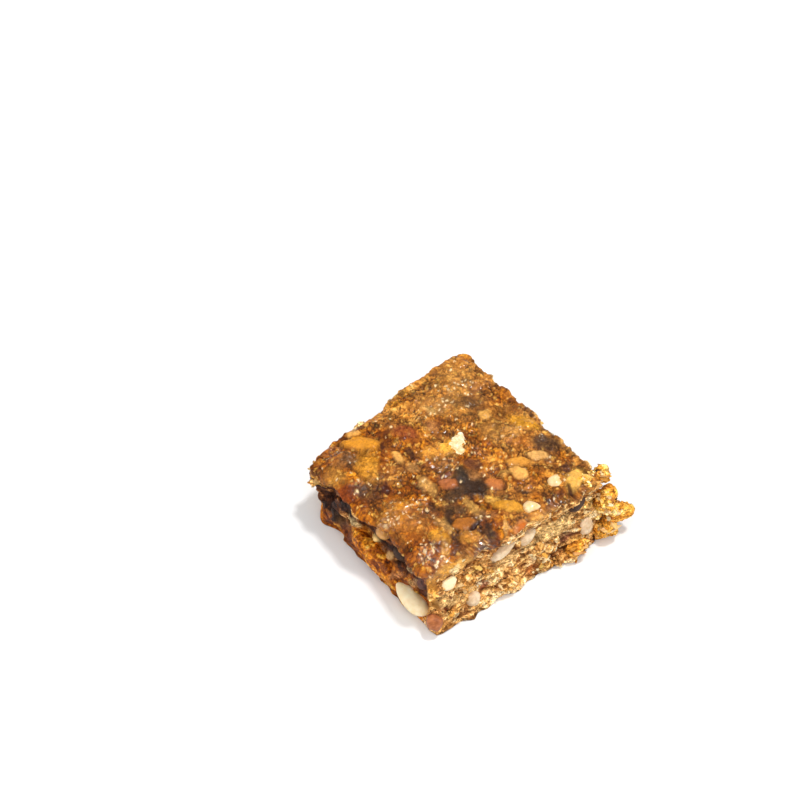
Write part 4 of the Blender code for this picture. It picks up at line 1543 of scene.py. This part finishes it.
PIECE_FINISHES = {
    "cashew": PieceFinish("cream_nut", (236, 204, 144), (255, 242, 208), patch=1.6, streaks=0.1,
                          roughness=0.42, coat=0.2),
    "fruit": PieceFinish("amber_fruit", (120, 58, 14), (196, 116, 40), patch=1.4, streaks=0.1,
                         roughness=0.35, coat=0.8, waxy=0.3, relief=0.2),
    "chocolate": PieceFinish("dark_chocolate", (34, 20, 13), (80, 54, 38), patch=0.8, roughness=0.5,
                             coat=0.05, waxy=0.05),
    "raisin": PieceFinish("dried_raisin", (46, 18, 10), (112, 56, 34), patch=0.7, streaks=0.2,
                          coat=0.2, waxy=0.1, relief=0.2),
    "golden_nut": PieceFinish("golden_nut", (176, 112, 46), (222, 164, 84), patch=1.0, streaks=0.1,
                              roughness=0.4, coat=0.4),
    "almond": PieceFinish("almond_skin", (132, 70, 34), (196, 120, 68), patch=1.0, streaks=0.6,
                          coat=0.2, waxy=0.1, relief=0.2),
    "kernel": PieceFinish("seed_kernel", (190, 156, 118), (240, 218, 184), patch=1.0, streaks=0.5,
                          roughness=0.42, coat=0.15),
    "seed": PieceFinish("cream_seed", (226, 180, 112), (254, 230, 180), patch=0.9, streaks=0.2,
                        roughness=0.35, coat=0.5),
}


@dataclass(frozen=True)
class Crumb:
    """One of the larger crumbs on the solid: its middle, its radius, the seed of its dents.

    cut tells a crumb of a cut side from one of a broken clump.
    """

    middle: Triple
    radius: float
    seed: int
    cut: bool


@dataclass
class CutCrumbs:
    """The larger crumbs along the cut sides and the broken clumps, where the solids have them."""

    form: BarForm
    per_side: tuple[int, ...] = (28, 17, 17, 10)
    radii: tuple[float, float] = (0.9, 1.8)
    sink: float = 0.3
    gap: float = 0.35
    run: tuple[float, float] = (2.0, 33.0)
    heights: tuple[float, float] = (0.8, 12.2)
    side_look: float = 0.8
    place_seed: int = 71
    dent_seed: int = 500
    clumps: tuple = (
        ((18.1, -18.8, 6.4), (3.7, 2.2, 4.3), 13, (1.1, 2.1)),
        ((17.2, -20.3, 2.6), (2.7, 1.4, 1.8), 6, (1.0, 1.8)),
        ((10.6, -19.7, 1.9), (3.2, 0.8, 1.2), 5, (1.0, 1.6)),
        ((17.6, -16.6, 12.4), (1.5, 2.0, 1.2), 9, (0.7, 1.3)),
        ((13.4, -16.4, 13.9), (2.6, 1.4, 0.2), 5, (0.6, 0.95)),
    )
    columns: int = 34
    rows: int = 24

    def places(self) -> list[Crumb]:
        """Draw the crumbs' places in the order that the solids have them.

        Returns:
            The crumbs that are clear of the set pieces, and those of the clumps.
        """
        rng = np.random.default_rng(self.place_seed)
        seats = [(piece.seat(self.form)[0], max(piece.size) / 2) for piece in SET_PIECES]
        crumbs: list[Crumb] = []
        for side, count in zip(CUT_SIDES, self.per_side):
            for index in range(count):
                along = self.run[0] + (index + rng.uniform(0.1, 0.9)) * self.run[1] / count
                height = rng.uniform(*self.heights)
                radius = rng.uniform(*self.radii)
                point, out = self.form.side_point(side, along, height)
                middle = point - out * radius * self.sink
                clear = min(np.linalg.norm(middle - seat) - size for seat, size in seats)
                if clear > radius + self.gap:
                    crumbs.append(Crumb(tuple(middle), radius, self.dent_seed + len(crumbs), True))
        for middle, reach, count, radii in self.clumps:
            for _index in range(count):
                way = rng.normal(size=3)
                way *= rng.uniform(0.3, 1.0) / np.linalg.norm(way)
                radius = rng.uniform(*radii)
                place = np.array(middle) + way * reach
                crumbs.append(Crumb(tuple(place), radius, self.dent_seed + len(crumbs), False))
        return crumbs

    def build(self, grain: Grain, material: bpy.types.Material) -> PieceMesh:
        """Make every crumb as a dented ball with the mix's own flaky relief and colours.

        Args:
            grain: The mix's grains.
            material: The crumbs' finish.

        Returns:
            The joined crumbs' arrays, for smaller crumbs to sit on.
        """
        points, quads, caps, _wrap = ball(self.columns, self.rows)
        parts, ways, shares = [], [], []
        for crumb in self.places():
            rng = np.random.default_rng(crumb.seed)
            stretch = rng.uniform(0.8, 1.2, 3)
            dents = 0.2 * value_noise(points + crumb.seed * 5.7, 0.9, crumb.seed)
            dents += 0.1 * value_noise(points + crumb.seed * 2.9, 0.42, crumb.seed + 1)
            parts.append(points * (1.0 + dents)[:, None] * crumb.radius * stretch + np.array(crumb.middle))
            ways.append(points)
            shares.append(np.full(len(points), self.side_look if crumb.cut else 0.0))
        placed, ways = np.concatenate(parts), np.concatenate(ways)
        look = grain.side(placed, CLUMP).over(grain.side(placed, CRUMBLY), np.concatenate(shares))
        placed = placed + ways * look.height[:, None]
        placed[:, 2] = settle(placed[:, 2], 0.05)
        shift = (np.arange(len(parts)) * len(points))[:, None, None]
        made = PieceMesh(placed, (quads + shift).reshape(-1, 4), (caps + shift).reshape(-1, 3), look)
        made.make("broken_crumbs", material)
        return made


@dataclass(frozen=True)
class Ground:
    """Where small things may sit: places, outward directions, how likely each is and how dark."""

    anchors: np.ndarray
    normals: np.ndarray
    weights: np.ndarray
    shade: np.ndarray

    @classmethod
    def around(cls, block: PressedBlock, crumbs: PieceMesh) -> "Ground":
        """The cut sides and the larger crumbs, clear of the edges, the skin and the set pieces.

        Args:
            block: The built block.
            crumbs: The larger crumbs' arrays.

        Returns:
            The ground.
        """
        rim = np.maximum(np.abs(block.unit[:, 0]), np.abs(block.unit[:, 1]))
        t = block.unit[:, 2]
        on_side = (rim > RIM) * smooth_step(0.02, 0.06, t) * smooth_step(0.97, 0.9, t)
        torn = block.form.torn(block.unit, block.points)
        weights = on_side * (1.0 - 0.9 * torn) * (1.0 - 0.95 * block.skin)
        count = len(crumbs.points)
        anchors = np.concatenate([block.points, crumbs.points])
        clear = np.ones(len(anchors))
        for piece in SET_PIECES:
            away = np.linalg.norm(anchors - piece.seat(block.form)[0], axis=1)
            clear = clear * smooth_step(0.5, 0.9, away / max(piece.size))
        return cls(anchors, np.concatenate([block.normals, np.zeros((count, 3))]),
                   np.concatenate([weights, np.full(count, 0.35)]) * clear,
                   np.concatenate([1.0 - 0.35 * torn, np.ones(count)]))


@dataclass(frozen=True)
class Scatter:
    """One kind of small thing scattered over a surface, joined into one piece."""

    name: str
    slot: str
    count: int
    size: tuple[float, float]
    stretch: Triple
    palette: Palette
    finish: CrumbFinish
    seed: int
    columns: int = 6
    rows: int = 5
    sink: float = 0.25
    tilt: float = 3.14
    dents: float = 0.22

    def turns(self, rng: np.random.Generator) -> np.ndarray:
        """Random rotations; with a small tilt the shape's z stays nearly upright.

        Args:
            rng: The source of the draws.

        Returns:
            One 3 by 3 matrix for each thing.
        """
        yaw = rng.uniform(0.0, math.tau, self.count)
        lean = rng.uniform(0.0, 1.0, self.count) ** 0.5 * self.tilt
        heading = rng.uniform(0.0, math.tau, self.count)
        axis = np.stack([np.cos(heading), np.sin(heading), np.zeros(self.count)], axis=1)
        skew = np.zeros((self.count, 3, 3))
        skew[:, 0, 2], skew[:, 1, 2] = axis[:, 1], -axis[:, 0]
        skew[:, 2, 0], skew[:, 2, 1] = -axis[:, 1], axis[:, 0]
        sin, cos = np.sin(lean)[:, None, None], np.cos(lean)[:, None, None]
        tilts = np.eye(3) + sin * skew + (1.0 - cos) * (skew @ skew)
        spins = np.zeros((self.count, 3, 3))
        spins[:, 0, 0] = spins[:, 1, 1] = np.cos(yaw)
        spins[:, 1, 0], spins[:, 0, 1] = np.sin(yaw), -np.sin(yaw)
        spins[:, 2, 2] = 1.0
        return tilts @ spins

    def build(self, ground: Ground) -> bpy.types.Object:
        """Scatter the things over the ground, most of them small, each with its own dents and colour, and
        painted shade in its dents.

        Args:
            ground: Where they may sit.

        Returns:
            The joined piece.
        """
        rng = np.random.default_rng(self.seed)
        chosen = rng.choice(len(ground.anchors), self.count, p=ground.weights / ground.weights.sum())
        points, quads, caps, _wrap = ball(self.columns, self.rows)
        sizes = self.size[0] * (self.size[1] / self.size[0]) ** (rng.uniform(size=self.count) ** 1.5)
        scales = sizes[:, None] * np.array(self.stretch) * rng.uniform(0.75, 1.3, (self.count, 3)) / 2
        radii = 1.0 + self.dents * rng.uniform(-1.0, 1.0, (self.count, len(points)))
        local = points[None] * radii[:, :, None] * scales[:, None, :]
        placed = np.einsum("nij,nvj->nvi", self.turns(rng), local)
        depth = (sizes * self.sink * min(self.stretch))[:, None]
        middle = ground.anchors[chosen] - ground.normals[chosen] * depth
        placed += middle[:, None, :]
        placed[..., 2] = settle(placed[..., 2], 0.03)
        colours = self.palette.pick(rng.uniform(size=self.count))
        colours = colours * rng.uniform(0.82, 1.1, (self.count, 1)) * ground.shade[chosen][:, None]
        tint = np.repeat(colours[:, None, :], len(points), axis=1)
        # Painted shade: each thing is darker where it is dented in, lighter where it bulges.
        tint = tint * (0.9 + 0.35 * (radii - 1.0))[:, :, None]
        shift = (np.arange(self.count) * len(points))[:, None, None]
        none = np.zeros(self.count * len(points))
        look = Look(tint.reshape(-1, 3), none, none, none)
        piece = PieceMesh(placed.reshape(-1, 3), (quads + shift).reshape(-1, 4),
                          (caps + shift).reshape(-1, 3), look)
        return piece.make(self.name, self.finish.build())


GOLDEN = Palette(((238, 173, 73), (250, 203, 108), (214, 147, 58), (190, 120, 46)), (3, 2, 2, 1))
PALE_FLAKES = Palette(((250, 212, 150), (234, 186, 116), (255, 230, 178), (206, 150, 88)), (3, 3, 2, 2))
CREAM = Palette(((255, 232, 178), (250, 212, 148), (240, 204, 152)), (2, 2, 1))
BROWN = Palette(((158, 96, 38), (126, 72, 32), (185, 111, 42)), (2, 1, 1))
DARK = Palette(((73, 43, 26), (97, 58, 33), (55, 34, 23)), (1, 1, 1))

SIDE_SCATTERS = (
    Scatter("golden_crumbs", "golden_nut", 240, (0.4, 1.0), (1.0, 0.85, 0.6), GOLDEN,
            CrumbFinish("golden_crumb"), seed=301, columns=8, rows=6, sink=0.6),
    Scatter("cream_crumbs", "cashew", 260, (0.4, 1.3), (1.2, 0.8, 0.5), CREAM,
            CrumbFinish("cream_crumb"), seed=302, columns=8, rows=6, sink=0.5),
    Scatter("flat_flakes", "kernel", 420, (0.6, 1.5), (1.7, 0.8, 0.16), PALE_FLAKES,
            CrumbFinish("flat_flake"), seed=303, columns=10, sink=3.2, tilt=0.4, dents=0.16),
    Scatter("golden_flakes", "golden_nut", 220, (0.6, 1.4), (1.7, 0.9, 0.16), GOLDEN,
            CrumbFinish("golden_flake"), seed=306, columns=10, sink=3.2, tilt=0.4, dents=0.16),
    Scatter("brown_crumbs", "mix", 130, (0.4, 1.1), (1.1, 0.9, 0.6), BROWN,
            CrumbFinish("brown_crumb", coat=0.2), seed=304, columns=8, rows=6, sink=0.5),
    Scatter("dark_crumbs", "chocolate", 40, (0.4, 1.0), (1.1, 0.9, 0.7), DARK,
            CrumbFinish("dark_crumb", roughness=0.5, coat=0.1), seed=305, columns=8, rows=6, sink=0.5),
)


@dataclass(frozen=True)
class Lamp:
    """A soft square light: degrees round from the camera's right and up, side in metres, watts."""

    name: str
    azimuth: float
    elevation: float
    side: float
    power: float


@dataclass(frozen=True)
class Studio:
    """Floor, soft light and the camera at the photograph's angle and framing, in millimetres."""

    image: float = 800.0
    scale: float = 5.3
    distance: float = 360.0
    azimuth: float = -38.1455
    elevation: float = 47.0
    target: Triple = (8.146, 28.349, 0.0)
    sensor: float = 36.0
    floor_edge: float = 3000.0
    floor_gap: float = 0.05
    surroundings: float = 0.36
    lamp_distance: float = 0.9
    lamps: tuple[Lamp, ...] = (
        Lamp("key", 10.0, 76.0, 0.1, 3.9),
        Lamp("overhead", -90.0, 80.0, 0.9, 2.0),
        Lamp("right_fill", -40.0, 36.0, 0.9, 3.8),
        Lamp("left_fill", -150.0, 34.0, 0.8, 3.7),
    )

    def floor(self) -> None:
        """A large plain floor just under the bar."""
        square = np.array([[-1, -1, 0], [1, -1, 0], [1, 1, 0], [-1, 1, 0]], float) * self.floor_edge
        square[:, 2] = -self.floor_gap
        mesh = bpy.data.meshes.new("floor")
        mesh.from_pydata(square * MM, [], [[0, 1, 2, 3]])
        mesh.materials.append(FloorFinish().build())
        floor = bpy.data.objects.new("floor", mesh)
        bpy.context.collection.objects.link(floor)

    def camera(self) -> None:
        """Look down at the target from the photograph's side, with its scale in pixels a millimetre."""
        lens = self.sensor * self.scale * self.distance / self.image
        data = bpy.data.cameras.new("camera")
        data.lens, data.sensor_width = lens, self.sensor
        data.clip_start, data.clip_end = 0.01, 10.0
        camera = bpy.data.objects.new("camera", data)
        bpy.context.collection.objects.link(camera)
        a, e = math.radians(self.azimuth), math.radians(self.elevation)
        back = np.array([math.sin(a) * math.cos(e), -math.cos(a) * math.cos(e), math.sin(e)])
        camera.location = (np.array(self.target) + back * self.distance) * MM
        camera.rotation_euler = (math.pi / 2 - e, 0.0, a)
        bpy.context.scene.camera = camera

    def area(self, lamp: Lamp) -> None:
        """Add a light that faces the bar.

        Args:
            lamp: The light.
        """
        data = bpy.data.lights.new(lamp.name, "AREA")
        data.energy, data.size = lamp.power, lamp.side
        light = bpy.data.objects.new(lamp.name, data)
        bpy.context.collection.objects.link(light)
        a = math.radians(lamp.azimuth + self.azimuth)
        e = math.radians(lamp.elevation)
        way = np.array([math.cos(a) * math.cos(e), math.sin(a) * math.cos(e), math.sin(e)])
        light.location = way * self.lamp_distance
        pitch = math.atan2(math.hypot(way[0], way[1]), way[2])
        light.rotation_euler = (pitch, 0.0, math.atan2(way[1], way[0]) + math.pi / 2)

    def light(self) -> None:
        """Even surroundings, a small high key, a broad light overhead and fills from both sides."""
        world = bpy.data.worlds.new("surroundings")
        world.use_nodes = True
        sky = world.node_tree.nodes["Background"].inputs
        sky["Color"].default_value = (1.0, 1.0, 1.0, 1.0)
        sky["Strength"].default_value = self.surroundings
        bpy.context.scene.world = world
        for lamp in self.lamps:
            self.area(lamp)
        bpy.context.scene.view_settings.view_transform = "Standard"


def main() -> None:
    """Build the bar from its block to its smallest crumbs, then the studio."""
    logging.basicConfig(level=logging.INFO, format="%(message)s")
    form, grain = BarForm(), Grain()
    studio = Studio()
    studio.camera()
    block = PressedBlock(form, grain)
    mix_finish = MixFinish().build()
    block.build(mix_finish)
    crumbs = CutCrumbs(form).build(grain, mix_finish)
    finishes = {slot: finish.build() for slot, finish in PIECE_FINISHES.items()}
    for piece in SET_PIECES:
        piece.build(form, grain, mix_finish if piece.crust else finishes[piece.slot])
    ground = Ground.around(block, crumbs)
    for scatter in SIDE_SCATTERS:
        scatter.build(ground)
    studio.floor()
    studio.light()


if __name__ == "__main__":
    main()
